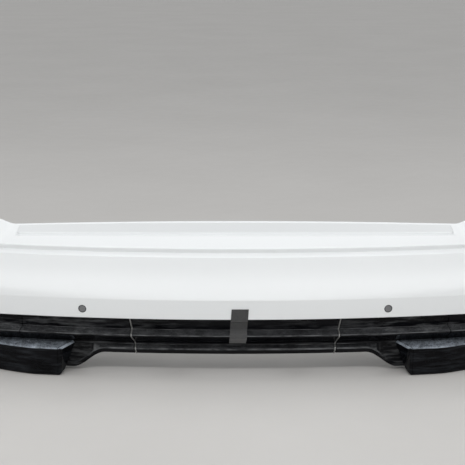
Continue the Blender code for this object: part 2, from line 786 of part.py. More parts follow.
# ---------------------------------------------------------------- brackets
def make_upper_rail():
    """Angle rail under the ledge: a leg beneath the pad and a flat back flange."""
    top = PAD_FRONT_Z + PAD_SLOPE * (RAIL_FRONT - PAD_FRONT_DEPTH) - WALL - RAIL_CLEAR
    rings = []
    for arc in spaced(-RAIL_HALF_ARC, RAIL_HALF_ARC, RAIL_RINGS):
        front = place(arc, RAIL_FRONT, 0.0)
        x, y = front.x, front.y
        outline = [
            (y, top), (RAIL_BACK_Y, top), (RAIL_BACK_Y, top - RAIL_DROP),
            (RAIL_BACK_Y - RAIL_THICK, top - RAIL_DROP), (RAIL_BACK_Y - RAIL_THICK, top - RAIL_THICK),
            (y, top - RAIL_THICK),
        ]
        rings.append([Vector((x, v, w)) for v, w in outline])
    add_piece("upper_rail", loft_mesh("upper_rail", rings), ZINC)


def make_side_bracket(side, sign):
    """Rail behind the cover's side top edge, screwed to the quarter panel."""
    rings = []
    end = arch_arc(LEDGE_FRONT_Z) - BRACKET_END
    top = SIDE_TOP_Z - WALL - BRACKET_TOP_CLEAR
    low = top - BRACKET_HEIGHT
    for arc in spaced(SIDE_START, end, BRACKET_RINGS):
        inner = SIDE_EDGE_DEPTH + WALL + BRACKET_CLEAR
        outline = [
            (inner, low), (inner, top), (inner + BRACKET_DEPTH, top),
            (inner + BRACKET_DEPTH, top - BRACKET_THICK), (inner + BRACKET_THICK, top - BRACKET_THICK),
            (inner + BRACKET_THICK, low),
        ]
        rings.append([place(sign * arc, d, z) for d, z in outline])
    add_piece("side_bracket_" + side, loft_mesh("side_bracket_" + side, rings), PLASTIC)


def make_lower_stay(side, sign):
    """Stay from the beam down to a slotted foot that holds the access panel."""
    foot_z = BOTTOM_Z + WALL + STAY_CLEAR
    top_z = BEAM_Z - GAP
    x = sign * STAY_X
    wall_y = STAY_Y + bow(STAY_X)
    tip_y = TURN_Y + bow(STAY_X) - STAY_REACH
    width = STAY_WIDTH / 2
    outline = [
        (tip_y, foot_z), (wall_y + STAY_THICK, foot_z), (wall_y + STAY_THICK, top_z),
        (wall_y, top_z), (wall_y, foot_z + STAY_THICK), (tip_y, foot_z + STAY_THICK),
    ]
    rings = [[Vector((x + u, v, w)) for v, w in outline] for u in (-width, width)]
    stay = add_piece("lower_stay_" + side, loft_mesh("lower_stay_" + side, rings), ZINC)
    turn_y = TURN_Y + bow(STAY_X)
    slot_half = TURN_SHANK + TURN_CLEAR
    slot = box_mesh("slot", (2 * slot_half, 0.060, 0.020), (0.0, -0.030, 0.0))
    slot_end = cylinder_mesh("slot_end", slot_half, 0.020, 20)
    for name, mesh in (("slot_", slot), ("slot_end_", slot_end)):
        cutter = add_piece(name + side, mesh, None, CUTTERS)
        cutter.location = (x, turn_y, foot_z)
        cut(stay, cutter)


def make_quarter_turn(side, sign, panel):
    """Quarter-turn fastener through the panel's bottom flange into the stay."""
    flange_z = BOTTOM_Z
    head = flange_z - GAP
    foot_z = BOTTOM_Z + WALL + STAY_CLEAR
    bar_z = foot_z + STAY_THICK + 2 * GAP
    spot = Vector((sign * STAY_X, TURN_Y + bow(STAY_X), 0.0))
    profile = [
        (0.0, bar_z + 0.004), (TURN_SHANK, bar_z + 0.004), (TURN_SHANK, head), (TURN_HEAD, head),
        (TURN_HEAD, head - 0.002), (TURN_HEAD - 0.0015, head - TURN_HEAD_THICK),
        (0.0, head - TURN_HEAD_THICK),
    ]
    blank = add_piece("turn_blank", turned_mesh("turn_body", profile, 16), None, CUTTERS)
    bar_mesh = box_mesh("bar", TURN_BAR, (0.0, 0.0, bar_z + TURN_BAR[2] / 2))
    bar = add_piece("turn_bar_" + side, bar_mesh, None, CUTTERS)
    boolean(blank, bar, "UNION")
    groove_mesh = box_mesh("groove", TURN_GROOVE, (0.0, 0.0, head - TURN_HEAD_THICK))
    groove = add_piece("turn_groove_" + side, groove_mesh, None, CUTTERS)
    boolean(blank, groove, "DIFFERENCE")
    mesh = evaluated_mesh(blank, "quarter_turn_" + side)
    for tool in (bar, groove):
        bpy.data.objects.remove(tool, do_unlink=True)
    piece = add_piece("quarter_turn_" + side, mesh, PLASTIC)
    piece.location = spot
    hole = add_piece(
        "turn_hole_" + side, cylinder_mesh("hole", TURN_SHANK + 2 * GAP, 0.02, 20), None, CUTTERS)
    hole.location = spot + Vector((0.0, 0.0, flange_z))
    cut(panel, hole)


# ---------------------------------------------------------------- sensors
def facet_frame(arc):
    """Point and outward direction on the cover's lower facet."""
    def point(run, share):
        crease, lip = cover_section(run)[CREASE_ROW:CREASE_ROW + 2]
        depth = crease[0] + (lip[0] - crease[0]) * share
        height = crease[1] + (lip[1] - crease[1]) * share
        return place(run, depth, height)

    along = point(arc + 0.002, SENSOR_SHARE) - point(arc - 0.002, SENSOR_SHARE)
    down = point(arc, 1.0) - point(arc, 0.0)
    outward = down.cross(along)
    outward.normalize()
    if arc < 0:
        outward = -outward if outward.x > 0.0 else outward
    if outward.y > 0.0:
        outward = -outward
    return point(arc, SENSOR_SHARE), outward


def sensor_seat(arc):
    """Room for the flat holder behind the curved wall at this arc."""
    curvature = (plan_heading(abs(arc) + 0.01) - plan_heading(abs(arc) - 0.01)) / 0.02
    return WALL + GAP + SEAT_CLEAR + CURVE_ALLOWANCE * curvature * HOLDER_PLATE ** 2


def sensor_mesh(seat):
    """Sensor with a round nose, a stepped body and a connector socket."""
    start = seat + HOLDER_WALL + 2 * GAP
    profile = [
        (0.0, 0.0), (SENSOR_RADIUS - SENSOR_BEVEL, 0.0), (SENSOR_RADIUS, -SENSOR_BEVEL),
        (SENSOR_RADIUS, -start), (SENSOR_FLANGE, -start), (SENSOR_FLANGE, -start - SENSOR_BODY),
        (SENSOR_FLANGE - SENSOR_STEP[0], -start - SENSOR_BODY - SENSOR_STEP[1]),
        (0.0, -start - SENSOR_BODY - SENSOR_STEP[1]),
    ]
    body = add_piece("sensor_blank", turned_mesh("sensor_turned", profile, 16), None, CUTTERS)
    back = -start - SENSOR_BODY
    shroud = add_piece(
        "socket_shroud", box_mesh("shroud", SOCKET_SIZE, (0, 0, back - SOCKET_DROP)), None, CUTTERS)
    wide, high = SOCKET_SIZE[0] - 2 * SOCKET_WALL, SOCKET_SIZE[1] - 2 * SOCKET_WALL
    inside = (wide, high, SOCKET_MOUTH[0])
    mouth = add_piece(
        "socket_mouth", box_mesh("mouth", inside, (0, 0, back - SOCKET_MOUTH[1])), None, CUTTERS)
    boolean(body, shroud, "UNION")
    boolean(body, mouth, "DIFFERENCE")
    mesh = evaluated_mesh(body, "sensor_body")
    for tool in (shroud, mouth):
        bpy.data.objects.remove(tool, do_unlink=True)
    return mesh


def ring_mesh():
    inner = SENSOR_RADIUS + GAP
    profile = [
        (inner, -GAP), (RING_RADIUS - RING_BEVEL, -GAP), (RING_RADIUS, -GAP - RING_BEVEL),
        (RING_RADIUS, -WALL - RING_PAST), (inner, -WALL - RING_PAST),
    ]
    return turned_mesh("sensor_ring", profile, 20, closed=True)


def holder_mesh(seat):
    bore = HOLE_RADIUS + HOLDER_BORE_CLEAR
    sleeve = SENSOR_FLANGE + 0.0005
    top = -seat
    low = top - HOLDER_WALL
    profile = [
        (bore, top), (HOLDER_PLATE, top), (HOLDER_PLATE, low), (sleeve + HOLDER_WALL, low),
        (sleeve + HOLDER_WALL, low - HOLDER_SLEEVE), (sleeve, low - HOLDER_SLEEVE),
        (sleeve, low), (bore, low),
    ]
    return turned_mesh("sensor_holder", profile, 14, closed=True)


def make_sensors(cover):
    number = 0
    for arc in (-SENSOR_ARCS[1], -SENSOR_ARCS[0], SENSOR_ARCS[0], SENSOR_ARCS[1]):
        number += 1
        point, outward = facet_frame(arc)
        frame = axis_matrix(point, outward)
        seat = sensor_seat(arc)
        pieces = (
            ("parking_sensor_", sensor_mesh(seat), SENSOR_GREY),
            ("sensor_ring_", ring_mesh(), RUBBER),
            ("sensor_holder_", holder_mesh(seat), PLASTIC),
        )
        for base, mesh, surface in pieces:
            add_piece(f"{base}{number}", mesh, surface).matrix_world = frame
        hole = add_piece(
            f"sensor_hole_{number}", cylinder_mesh("hole", HOLE_RADIUS, 0.030, 28), None, CUTTERS)
        hole.matrix_world = frame
        cut(cover, hole)


# ---------------------------------------------------------------- reflectors
def facet_a_outline(arc, margin, near, far):
    """Outline on the facet under the painted edge, between two depths in the wall."""
    top, foot = valance_section(arc)[1:3]
    high_z = top[1] - margin
    low_z = foot[1] + margin

    def depth_at(height):
        share = (top[1] - height) / (top[1] - foot[1])
        return top[0] + (foot[0] - top[0]) * share

    return [
        (depth_at(high_z) + near, high_z), (depth_at(low_z) + near, low_z),
        (depth_at(low_z) + far, low_z), (depth_at(high_z) + far, high_z),
    ]


def reflector_loft(name, sign, grow, near, far):
    arcs = spaced(REFLECTOR_FROM - grow, REFLECTOR_TO + grow, REFLECTOR_RINGS)
    margin = REFLECTOR_MARGIN - grow
    rings = [swept_ring(sign * arc, facet_a_outline(arc, margin, near, far)) for arc in arcs]
    return loft_mesh(name, rings)


def make_reflector(side, sign, corner):
    lens = reflector_loft("reflector_lens_" + side, sign, 0.0, -REFLECTOR_PROUD, REFLECTOR_THICK)
    add_piece("reflector_lens_" + side, lens, RED)
    back = reflector_loft(
        "reflector_backing_" + side, sign, BACKING_GROW,
        REFLECTOR_THICK + GAP, REFLECTOR_THICK + GAP + BACKING_THICK)
    add_piece("reflector_backing_" + side, back, PLASTIC)
    window = reflector_loft(
        "reflector_window_" + side, sign, WINDOW_GROW, -WINDOW_AHEAD, WALL + CUT_PAST)
    cut(corner, add_piece("reflector_window_" + side, window, None, CUTTERS))


# ---------------------------------------------------------------- push clips and screws
def clip_frame(section, sign, height):
    """Point on the wheel-arch flange, and the direction from it towards the wheel."""
    rows = section(arch_arc(height))
    for (_, high), (_, low) in zip(rows[1:-2], rows[2:-1]):
        if low <= height < high:
            break
    ends = []
    for row_height in (high, low):
        arc = arch_arc(row_height)
        depth = [d for d, z in section(arc)[1:-1] if abs(z - row_height) < 0.0001][-1]
        ends.append(place(sign * arc, depth + CLIP_SHARE * ARCH_FLANGE, row_height))
    share = (high - height) / (high - low)
    point = ends[0].lerp(ends[1], share)
    inboard = Vector((-sign, 0.0, 0.0))
    outward = inboard.cross(ends[1] - ends[0])
    if outward.y < 0.0:
        outward.negate()
    return point, outward.normalized()


def clip_body_mesh():
    if "clip_body" in bpy.data.meshes:
        return bpy.data.meshes["clip_body"]
    shank = CLIP_HOLE - GAP
    profile = [
        (CLIP_BORE, CLIP_HEAD_TOP), (CLIP_HEAD - CLIP_HEAD_EDGE, CLIP_HEAD_TOP),
        (CLIP_HEAD, CLIP_HEAD_TOP - CLIP_HEAD_EDGE), (CLIP_HEAD, CLIP_SEAT),
        (shank, CLIP_SEAT), (shank, -CLIP_LENGTH), (CLIP_BORE, -CLIP_LENGTH),
    ]
    return turned_mesh("clip_body", profile, 12, closed=True)


def clip_pin_mesh():
    if "clip_pin" in bpy.data.meshes:
        return bpy.data.meshes["clip_pin"]
    profile = [
        (0.0, PIN_TOP), (PIN_HEAD - PIN_HEAD_EDGE, PIN_TOP), (PIN_HEAD, PIN_TOP - PIN_HEAD_EDGE),
        (PIN_HEAD, PIN_SEAT), (PIN_RADIUS, PIN_SEAT),
        (PIN_RADIUS, -CLIP_LENGTH + PIN_TIP), (0.0, -CLIP_LENGTH),
    ]
    return turned_mesh("clip_pin", profile, 12)


def make_clips(owner_sections):
    for side, sign in SIDES:
        for number, (height, section) in enumerate(zip(CLIP_HEIGHTS, owner_sections), start=1):
            point, direction = clip_frame(section, sign, height)
            frame = axis_matrix(point, direction)
            add_piece(f"clip_body_{side}_{number}", clip_body_mesh(), PLASTIC).matrix_world = frame
            add_piece(f"clip_pin_{side}_{number}", clip_pin_mesh(), PLASTIC).matrix_world = frame
            hole = add_piece(
                f"clip_hole_{side}_{number}", cylinder_mesh("hole", CLIP_HOLE, 0.014, 20), None, CUTTERS)
            hole.matrix_world = frame
            owner = "bumper_cover" if number == 1 else "corner_extension_" + side
            cut(bpy.data.objects[owner], hole)


def wing_screw_mesh():
    if "wing_screw" in bpy.data.meshes:
        return bpy.data.meshes["wing_screw"]
    profile = [
        (0.0, WALL + SCREW_LENGTH), (SCREW_RADIUS * 0.4, WALL + SCREW_LENGTH),
        (SCREW_RADIUS, WALL + SCREW_LENGTH - SCREW_POINT),
        (SCREW_RADIUS, -GAP + WALL * 0.5), (SCREW_HEAD, WALL * 0.5 - GAP),
        (SCREW_HEAD - 0.001, SCREW_SINK), (0.0, SCREW_SINK),
    ]
    return turned_mesh("wing_screw", profile, 10)


def make_wing_screws(side, sign, wing):
    """Screws up through the wing's bottom flange, heads sunk in the flange."""
    for number, arc in enumerate(WING_SCREW_ARCS, start=1):
        front, back = wing_section(arc)[4:6]
        spot = place(sign * arc, (front[0] + back[0]) / 2, 0.0)
        hole = add_piece(
            f"screw_hole_{side}_{number}",
            cylinder_mesh("hole", SCREW_RADIUS + GAP, 0.02, 16), None, CUTTERS)
        hole.location = spot
        sink = add_piece(
            f"screw_sink_{side}_{number}",
            cylinder_mesh("sink", SCREW_HEAD + GAP, WALL, 20), None, CUTTERS)
        sink.location = spot
        cut(wing, hole)
        cut(wing, sink)
        add_piece(f"wing_screw_{side}_{number}", wing_screw_mesh(), ZINC).location = spot


# ---------------------------------------------------------------- strips that follow the skin
def contour_strip(name, line, centre_at, width, thickness, surface):
    """Thin strip laid over a (depth, height) line, square to the rear."""
    columns = []
    for share in (-0.5, 0.0, 0.5):
        column = []
        for depth, height in offset_line(line, GAP):
            arc = centre_at(height) + width * share
            column.append(place(arc, depth, height))
        columns.append(column)
    strip = add_piece(name, skin_mesh(name, columns), surface)
    solidify(strip, thickness, outward=True)


def make_pull_strap():
    """Strap bonded to the access panel; its upper end laps over the painted facet."""
    panel = valance_section(0.0)
    facet_share = (CREASE_Z - STRAP_TOP_Z) / LOWER_FACET
    ridge, recess = panel[4:6]
    end = tuple(a + (b - a) * STRAP_END_SHARE for a, b in zip(ridge, recess))
    line = [
        (LIP_DEPTH * facet_share, STRAP_TOP_Z), (LIP_DEPTH, LIP_Z), (panel[1][0], VALANCE_TOP_Z - 0.004),
        panel[2], panel[3], ridge, end,
    ]

    def centre_at(height):
        share = (STRAP_TOP_Z - height) / (STRAP_TOP_Z - RECESS_Z)
        return STRAP_X_TOP + (STRAP_X_FOOT - STRAP_X_TOP) * share

    contour_strip("pull_strap", line, centre_at, STRAP_WIDTH, STRAP_THICK, RUBBER)


def make_edge_strip(side, sign):
    """Bright strip along each leaning end of the access panel."""
    line = valance_section(SEAM_TOP_ARC)[1:9]

    def centre_at(height):
        return sign * (seam_arc(height) - SEAM / 2 - STRIP_WIDTH / 2 - STRIP_INSET)

    contour_strip("edge_strip_" + side, line, centre_at, STRIP_WIDTH, STRIP_THICK, SATIN)


def move_to_bottom_centre():
    """Shift pieces and cutters alike so that the assembly's box is centred on the origin."""
    bpy.context.view_layer.update()
    graph = bpy.context.evaluated_depsgraph_get()
    ys = []
    for thing in PARTS.objects:
        solid = thing.evaluated_get(graph)
        ys += [(solid.matrix_world @ Vector(corner)).y for corner in solid.bound_box]
    shift = Vector((0.0, -(min(ys) + max(ys)) / 2, 0.0))
    for thing in list(PARTS.objects) + list(CUTTERS.objects):
        thing.location = thing.location + shift


# ---------------------------------------------------------------- assembly
clear_scene()
PARTS = new_collection("rear_bumper_cover")
CUTTERS = new_collection("cutters")
SIDES = (("left", -1.0), ("right", 1.0))

PAINT = make_material("white_paint", (0.86, 0.88, 0.89), 0.12)
GLOSS_BLACK = make_material("gloss_black", (0.012, 0.012, 0.014), 0.14)
PLASTIC = make_material("black_plastic", (0.03, 0.03, 0.032), 0.55)
RUBBER = make_material("black_rubber", (0.045, 0.045, 0.045), 0.8)
SENSOR_GREY = make_material("sensor_grey", (0.17, 0.17, 0.18), 0.4)
SATIN = make_material("satin_silver", (0.5, 0.5, 0.49), 0.35, 0.6)
RED = make_material("red_reflector", (0.45, 0.01, 0.01), 0.15)
STEEL = make_material("coated_steel", (0.06, 0.06, 0.065), 0.45, 0.4)
ZINC = make_material("zinc_steel", (0.55, 0.55, 0.53), 0.35, 0.9)
FOAM = make_material("grey_foam", (0.35, 0.35, 0.36), 0.9)

bumper_cover = make_cover()
make_sensors(bumper_cover)
access_panel = make_access_panel()
make_pull_strap()
make_beam()
make_absorber()
make_upper_rail()
for side_name, side_sign in SIDES:
    make_valance(side_name, side_sign)
    extension = make_corner(side_name, side_sign)
    make_reflector(side_name, side_sign, extension)
    side_wing = make_wing(side_name, side_sign)
    make_wing_screws(side_name, side_sign, side_wing)
    make_edge_strip(side_name, side_sign)
    make_crash_box(side_name, side_sign)
    make_plate(side_name, side_sign)
    make_side_bracket(side_name, side_sign)
    make_lower_stay(side_name, side_sign)
    make_quarter_turn(side_name, side_sign, access_panel)
make_clips((cover_section, valance_section))
move_to_bottom_centre()
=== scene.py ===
import json
import math

import bmesh
import bpy
import numpy as np
from mathutils import Matrix, Vector

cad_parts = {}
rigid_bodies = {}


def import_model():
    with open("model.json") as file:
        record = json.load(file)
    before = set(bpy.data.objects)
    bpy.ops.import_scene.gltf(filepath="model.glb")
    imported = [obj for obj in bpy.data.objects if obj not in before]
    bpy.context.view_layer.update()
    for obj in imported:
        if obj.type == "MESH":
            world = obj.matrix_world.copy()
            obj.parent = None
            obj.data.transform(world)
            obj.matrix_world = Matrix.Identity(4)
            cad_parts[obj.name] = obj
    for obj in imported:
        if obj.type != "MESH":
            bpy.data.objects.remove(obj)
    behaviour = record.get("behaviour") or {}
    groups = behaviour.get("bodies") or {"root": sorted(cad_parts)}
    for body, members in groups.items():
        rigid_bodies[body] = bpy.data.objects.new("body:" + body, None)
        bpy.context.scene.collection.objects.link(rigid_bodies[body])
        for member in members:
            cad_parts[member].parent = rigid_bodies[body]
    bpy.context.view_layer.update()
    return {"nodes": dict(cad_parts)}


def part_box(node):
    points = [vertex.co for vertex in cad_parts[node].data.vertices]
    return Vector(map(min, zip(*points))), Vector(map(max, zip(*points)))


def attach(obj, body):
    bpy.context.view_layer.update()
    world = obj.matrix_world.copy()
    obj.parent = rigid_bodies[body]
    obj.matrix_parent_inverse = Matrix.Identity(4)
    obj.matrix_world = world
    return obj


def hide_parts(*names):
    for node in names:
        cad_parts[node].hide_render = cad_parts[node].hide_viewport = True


for thing in list(bpy.data.objects):
    bpy.data.objects.remove(thing, do_unlink=True)
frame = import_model()
NODES = frame["nodes"]
FIXED = "fixed_bumper"
PANEL = "access_panel"
SIDES = (("left", -1.0), ("right", 1.0))

# ---------------------------------------------------------------- sizes shared with the CAD, in metres
GAP = 0.0003
WALL = 0.003
SEAM = 0.0016
BOW_RADIUS = 3.4
CORNER_START = 0.56
CORNER_LENGTH = 0.54
CORNER_TURN = math.radians(65.5)
SIDE_START = 1.02
ARCH_RADIUS = 0.38
ARCH_Y = 0.88
ARCH_Z = 0.08
ARCH_FLANGE = 0.022

LIP_Z = 0.1498
LOWER_FACET = 0.0504
CREASE_Z = 0.2002
MAIN_FACE = 0.1049
SHOULDER_Z = 0.3051
RISER_FOOT_Z = 0.3134
LEDGE_FRONT_Z = 0.3255
LEDGE_RISE = 0.0212
GROOVE_Z = 0.3467
PAD_FRONT_Z = 0.3512
PAD_SLOPE = 0.22
SHOULDER_DEPTH = 0.018
RISER_FOOT_DEPTH = 0.031
LEDGE_FRONT_DEPTH = 0.026
GROOVE_LEAN = 0.0025
FACE_CROWN = 0.0015
LIP_DEPTH = 0.004
PAD_FRONT_DEPTH = 0.0865
PAD_DEPTH = 0.058
EDGE_BEAD = 0.003
BEAD_FRONT = 0.0030
BEAD_BACK = 0.0070
HEM_BACK = 0.0085
HEM_DROP = 0.008
PAD_STRAIGHTEN = 0.8
PAD_FRONT_STRAIGHTEN = 0.36
BOW_LIMIT = 0.05
CURL_START = 0.582
CURL_END = 0.640
CURL_RISE = 0.012
SIDE_TOP_Z = 0.405
SIDE_EDGE_DEPTH = 0.012
SIDE_BLEND_START = 0.60

VALANCE_TOP_Z = 0.1485
VALANCE_EDGE_DEPTH = 0.012
VALANCE_BLEND_START = 0.62
FACET_A_FOOT_DEPTH = 0.018
FACET_A_FOOT_Z = 0.1193
RIDGE_TOP_Z = 0.1125
RIDGE_FRONT = -0.008
RECESS_Z = 0.0803
RECESS_DEPTH = 0.030
LIP_BEAD_Z = 0.0715
BOTTOM_Z = 0.0557
BOTTOM_DEPTH = 0.020
CORNER_FOOT_DEPTH = 0.037
DROP_START = 0.330
DROP_END = 0.418
DROP = 0.048
SEAM_TOP_ARC = 0.266
SEAM_FOOT_ARC = 0.2512
OUTER_SEAM_ARC = 0.540

WING_TOP_Z = 0.0812
WING_EDGE_Z = 0.0714
WING_FRONT = -0.018
WING_CLEAR = 0.0025
WING_TAPER = 0.027
WING_INNER_BACK = 0.4085
WING_INNER_FRONT = 0.434
WING_INNER_FOOT = 0.4363

SENSOR_ARCS = (0.380, 0.800)
SENSOR_SHARE = 0.54
SENSOR_RADIUS = 0.0080
RING_RADIUS = 0.0099
HOLE_RADIUS = 0.0102
SENSOR_FLANGE = 0.0131
SENSOR_BODY = 0.024
HOLDER_WALL = 0.002
HOLDER_PLATE = 0.0192
REFLECTOR_FROM = 0.665
REFLECTOR_TO = 0.795
WINDOW_MARGIN = 0.0044
WINDOW_GROW = 0.0006

PLATE_Y = 0.270
PLATE_THICK = 0.006
CLIP_HEAD = 0.0082
CLIP_HOLE = 0.0042
CLIP_LENGTH = 0.014
CLIP_HEIGHTS = (0.250, 0.090)
STRAP_WIDTH = 0.0423
STRAP_THICK = 0.0016
STRAP_TOP_Z = 0.178
STRAP_END_SHARE = 0.86
STRAP_X_TOP = 0.0121
STRAP_X_FOOT = 0.0054
STRIP_WIDTH = 0.0034
STRIP_THICK = 0.0012

# The CAD is shifted so that its box is centred; the plate's back face gives the shift.
SHIFT_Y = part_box("mounting_plate_left")[1].y - (PLATE_Y + PLATE_THICK)

# ---------------------------------------------------------------- sizes of the finer shapes
PAD_END = 0.5665              # the raised pad ends here, its corner rounded in plan
PAD_END_RADIUS = 0.013
PAD_FADE = 0.0022
GROOVE_CUT = 0.0022           # the groove along the pad's front edge
ARCH_ROLL = 0.0032            # rounding of the wheel-arch edge
INNER_ROLL = 0.0006
BLOCK = 0.015                 # half side of the mesh block round a sensor hole
BLOCK_STEPS = 8
WING_CHAMFER = 0.0052


# ---------------------------------------------------------------- plan curve
def smooth(value, low, high):
    share = np.clip((value - low) / (high - low), 0.0, 1.0)
    return share * share * (3.0 - 2.0 * share)


def plan_heading(arc):
    return arc / BOW_RADIUS + CORNER_TURN * smooth(arc, CORNER_START, CORNER_START + CORNER_LENGTH)


def integrate_plan(step=0.001, reach=2.2):
    arcs = np.arange(0.0, reach, step)
    turns = plan_heading(arcs)
    middle = 0.5 * (turns[1:] + turns[:-1])
    xs = np.concatenate(([0.0], np.cumsum(np.cos(middle)) * step))
    ys = np.concatenate(([0.0], np.cumsum(np.sin(middle)) * step))
    return arcs, xs, ys


PLAN_ARC, PLAN_X, PLAN_Y = integrate_plan()


def place(arcs, depths, heights):
    """Points of the skins; each argument is a number or an array."""
    arcs, depths, heights = np.broadcast_arrays(
        np.asarray(arcs, float), np.asarray(depths, float), np.asarray(heights, float))
    run = np.abs(arcs)
    turn = plan_heading(run)
    x = np.interp(run, PLAN_ARC, PLAN_X) - np.sin(turn) * depths
    y = np.interp(run, PLAN_ARC, PLAN_Y) + np.cos(turn) * depths + SHIFT_Y
    return np.stack([np.where(arcs < 0.0, -x, x), y, heights], axis=-1)


def spot(arc, depth, height):
    return Vector([float(v) for v in place(arc, depth, height)])


def bow(arc):
    return float(np.interp(abs(arc), PLAN_ARC, PLAN_Y))


def arch_arc(height):
    rise = np.minimum(np.abs(np.asarray(height) - ARCH_Z), 0.98 * ARCH_RADIUS)
    return np.interp(ARCH_Y - np.sqrt(ARCH_RADIUS ** 2 - rise ** 2), PLAN_Y, PLAN_ARC)


# ---------------------------------------------------------------- open lines in (depth, height)
def offset_line(points, distance):
    """The line moved outboard, with mitred corners."""
    points = np.asarray(points, float)
    run = points[1:] - points[:-1]
    length = np.linalg.norm(run, axis=1)
    normals = np.stack([run[:, 1], -run[:, 0]], axis=1) / length[:, None]
    before = np.vstack([normals[:1], normals])
    after = np.vstack([normals, normals[-1:]])
    mean = before + after
    scale = 2.0 / np.sum(mean * mean, axis=1)
    return points + mean * (scale * distance)[:, None]


def corner_arc(before, corner, after, radius, count):
    """A circular arc in place of a corner, as count + 1 points."""
    u = before - corner
    v = after - corner
    room = min(np.linalg.norm(u), np.linalg.norm(v))
    u = u / np.linalg.norm(u)
    v = v / np.linalg.norm(v)
    half = 0.5 * (math.pi - math.acos(float(np.clip(u @ v, -1.0, 1.0))))
    reach = min(max(radius * math.tan(half), 0.0006), 0.45 * room)
    weight = math.cos(half)
    t = np.linspace(0.0, 1.0, count + 1)[:, None]
    share = (1 - t) ** 2 + 2 * t * (1 - t) * weight + t ** 2
    start = corner + u * reach
    end = corner + v * reach
    return ((1 - t) ** 2 * start + 2 * t * (1 - t) * weight * corner + t ** 2 * end) / share


def rounded(points, corners):
    """corners holds (radius, segments) for each point; a radius of 0 keeps the point."""
    points = np.asarray(points, float)
    out = [points[:1]]
    for i in range(1, len(points) - 1):
        radius, count = corners[i]
        if radius:
            out.append(corner_arc(points[i - 1], points[i], points[i + 1], radius, count))
        else:
            out.append(points[i:i + 1])
    out.append(points[-1:])
    return np.vstack(out)


def inner_corners(corners):
    return [(0.5 * radius + 0.0006 if radius else 0, count) for radius, count in corners]


def rows_before(corners, index):
    """How many points the rounded line has before the given corner."""
    return sum(1 if not radius else count + 1 for radius, count in corners[:index])


# ---------------------------------------------------------------- section of the painted cover
def pad_front(run):
    over = float(np.clip(run - (PAD_END - PAD_END_RADIUS), 0.0, PAD_END_RADIUS))
    return PAD_FRONT_DEPTH + PAD_END_RADIUS - math.sqrt(PAD_END_RADIUS ** 2 - over ** 2)


def sensor_rows():
    centre = CREASE_Z - SENSOR_SHARE * LOWER_FACET
    return np.linspace(centre + BLOCK, centre - BLOCK, BLOCK_STEPS + 1)


def facet_depth(height):
    return LIP_DEPTH * (CREASE_Z - height) / LOWER_FACET


def cover_section(arc):
    run = abs(arc)
    side = float(smooth(run, SIDE_BLEND_START, SIDE_START))
    bend = min(bow(run), BOW_LIMIT)
    back = PAD_FRONT_DEPTH + PAD_DEPTH - PAD_STRAIGHTEN * bend
    draw = PAD_FRONT_STRAIGHTEN * bend
    back_z = PAD_FRONT_Z + PAD_SLOPE * (back - PAD_FRONT_DEPTH)
    curl = CURL_RISE * float(smooth(run, CURL_START, CURL_END))
    upper_face = CREASE_Z + MAIN_FACE * 2 / 3
    lower_face = CREASE_Z + MAIN_FACE / 3
    ledge_slope = LEDGE_RISE / (PAD_FRONT_DEPTH - GROOVE_LEAN - LEDGE_FRONT_DEPTH)
    fall = draw * ledge_slope
    base = (PAD_FRONT_DEPTH - draw - 0.0065, GROOVE_Z - fall - 0.004 * ledge_slope + 0.45 * curl)
    rise = (back_z + curl - base[1]) / (back - base[0])
    front = min(pad_front(run) - draw, back - 0.0045)
    plain_z = base[1] + rise * (front - base[0])
    raised_z = PAD_FRONT_Z - fall + PAD_SLOPE * (front + draw - PAD_FRONT_DEPTH)
    keep = 1.0 - float(smooth(run, PAD_END, PAD_END + PAD_FADE))
    groove = front - 0.0024
    rear = [
        (back + HEM_BACK, back_z - HEM_DROP + curl),
        (back + BEAD_BACK, back_z + EDGE_BEAD + curl),
        (back + BEAD_FRONT, back_z + EDGE_BEAD + curl),
        (back, back_z + curl),
        (front, plain_z + keep * (raised_z - plain_z)),
        (groove, base[1] + rise * (groove - base[0]) - keep * GROOVE_CUT),
        base,
        (LEDGE_FRONT_DEPTH, LEDGE_FRONT_Z),
        (RISER_FOOT_DEPTH, RISER_FOOT_Z),
        (SHOULDER_DEPTH, SHOULDER_Z),
        (SHOULDER_DEPTH * 2 / 3 - FACE_CROWN, upper_face),
        (SHOULDER_DEPTH / 3 - FACE_CROWN, lower_face),
        (0.0, CREASE_Z),
    ]
    top = SIDE_TOP_Z
    middle = 0.5 * (top + LEDGE_FRONT_Z)
    flank = [
        (SIDE_EDGE_DEPTH + ARCH_FLANGE, top - 0.002),
        (SIDE_EDGE_DEPTH, top),
        (0.0115, top - 0.003),
        (0.011, top - 0.006),
        (0.009, middle + 0.012),
        (0.008, middle),
        (0.0075, middle - 0.012),
        (0.006, LEDGE_FRONT_Z),
        (0.006, RISER_FOOT_Z),
        (0.004, SHOULDER_Z),
        (0.002, upper_face),
        (0.000, lower_face),
        (0.0, CREASE_Z),
    ]
    points = [(a[0] + (b[0] - a[0]) * side, a[1] + (b[1] - a[1]) * side) for a, b in zip(rear, flank)]
    points += [(facet_depth(height), height) for height in sensor_rows()]
    return points + [(LIP_DEPTH, LIP_Z), (LIP_DEPTH + ARCH_FLANGE, LIP_Z)]


COVER_CORNERS = [
    (0, 0), (0.0016, 4), (0.0016, 4), (0.0025, 3), (0.0026, 5), (0.0016, 4), (0.004, 2),
    (0.0034, 6), (0.0022, 4), (0.0030, 6), (0.9, 5), (0.9, 5), (0.0030, 5),
] + [(0, 0)] * (BLOCK_STEPS + 1) + [(0.0018, 5), (0, 0)]
COVER_INNER = inner_corners(COVER_CORNERS)
CREASE_ROW = 12


def cover_ring(arc):
    points = cover_section(arc)
    return rounded(points, COVER_CORNERS), rounded(offset_line(points, -WALL), COVER_INNER)


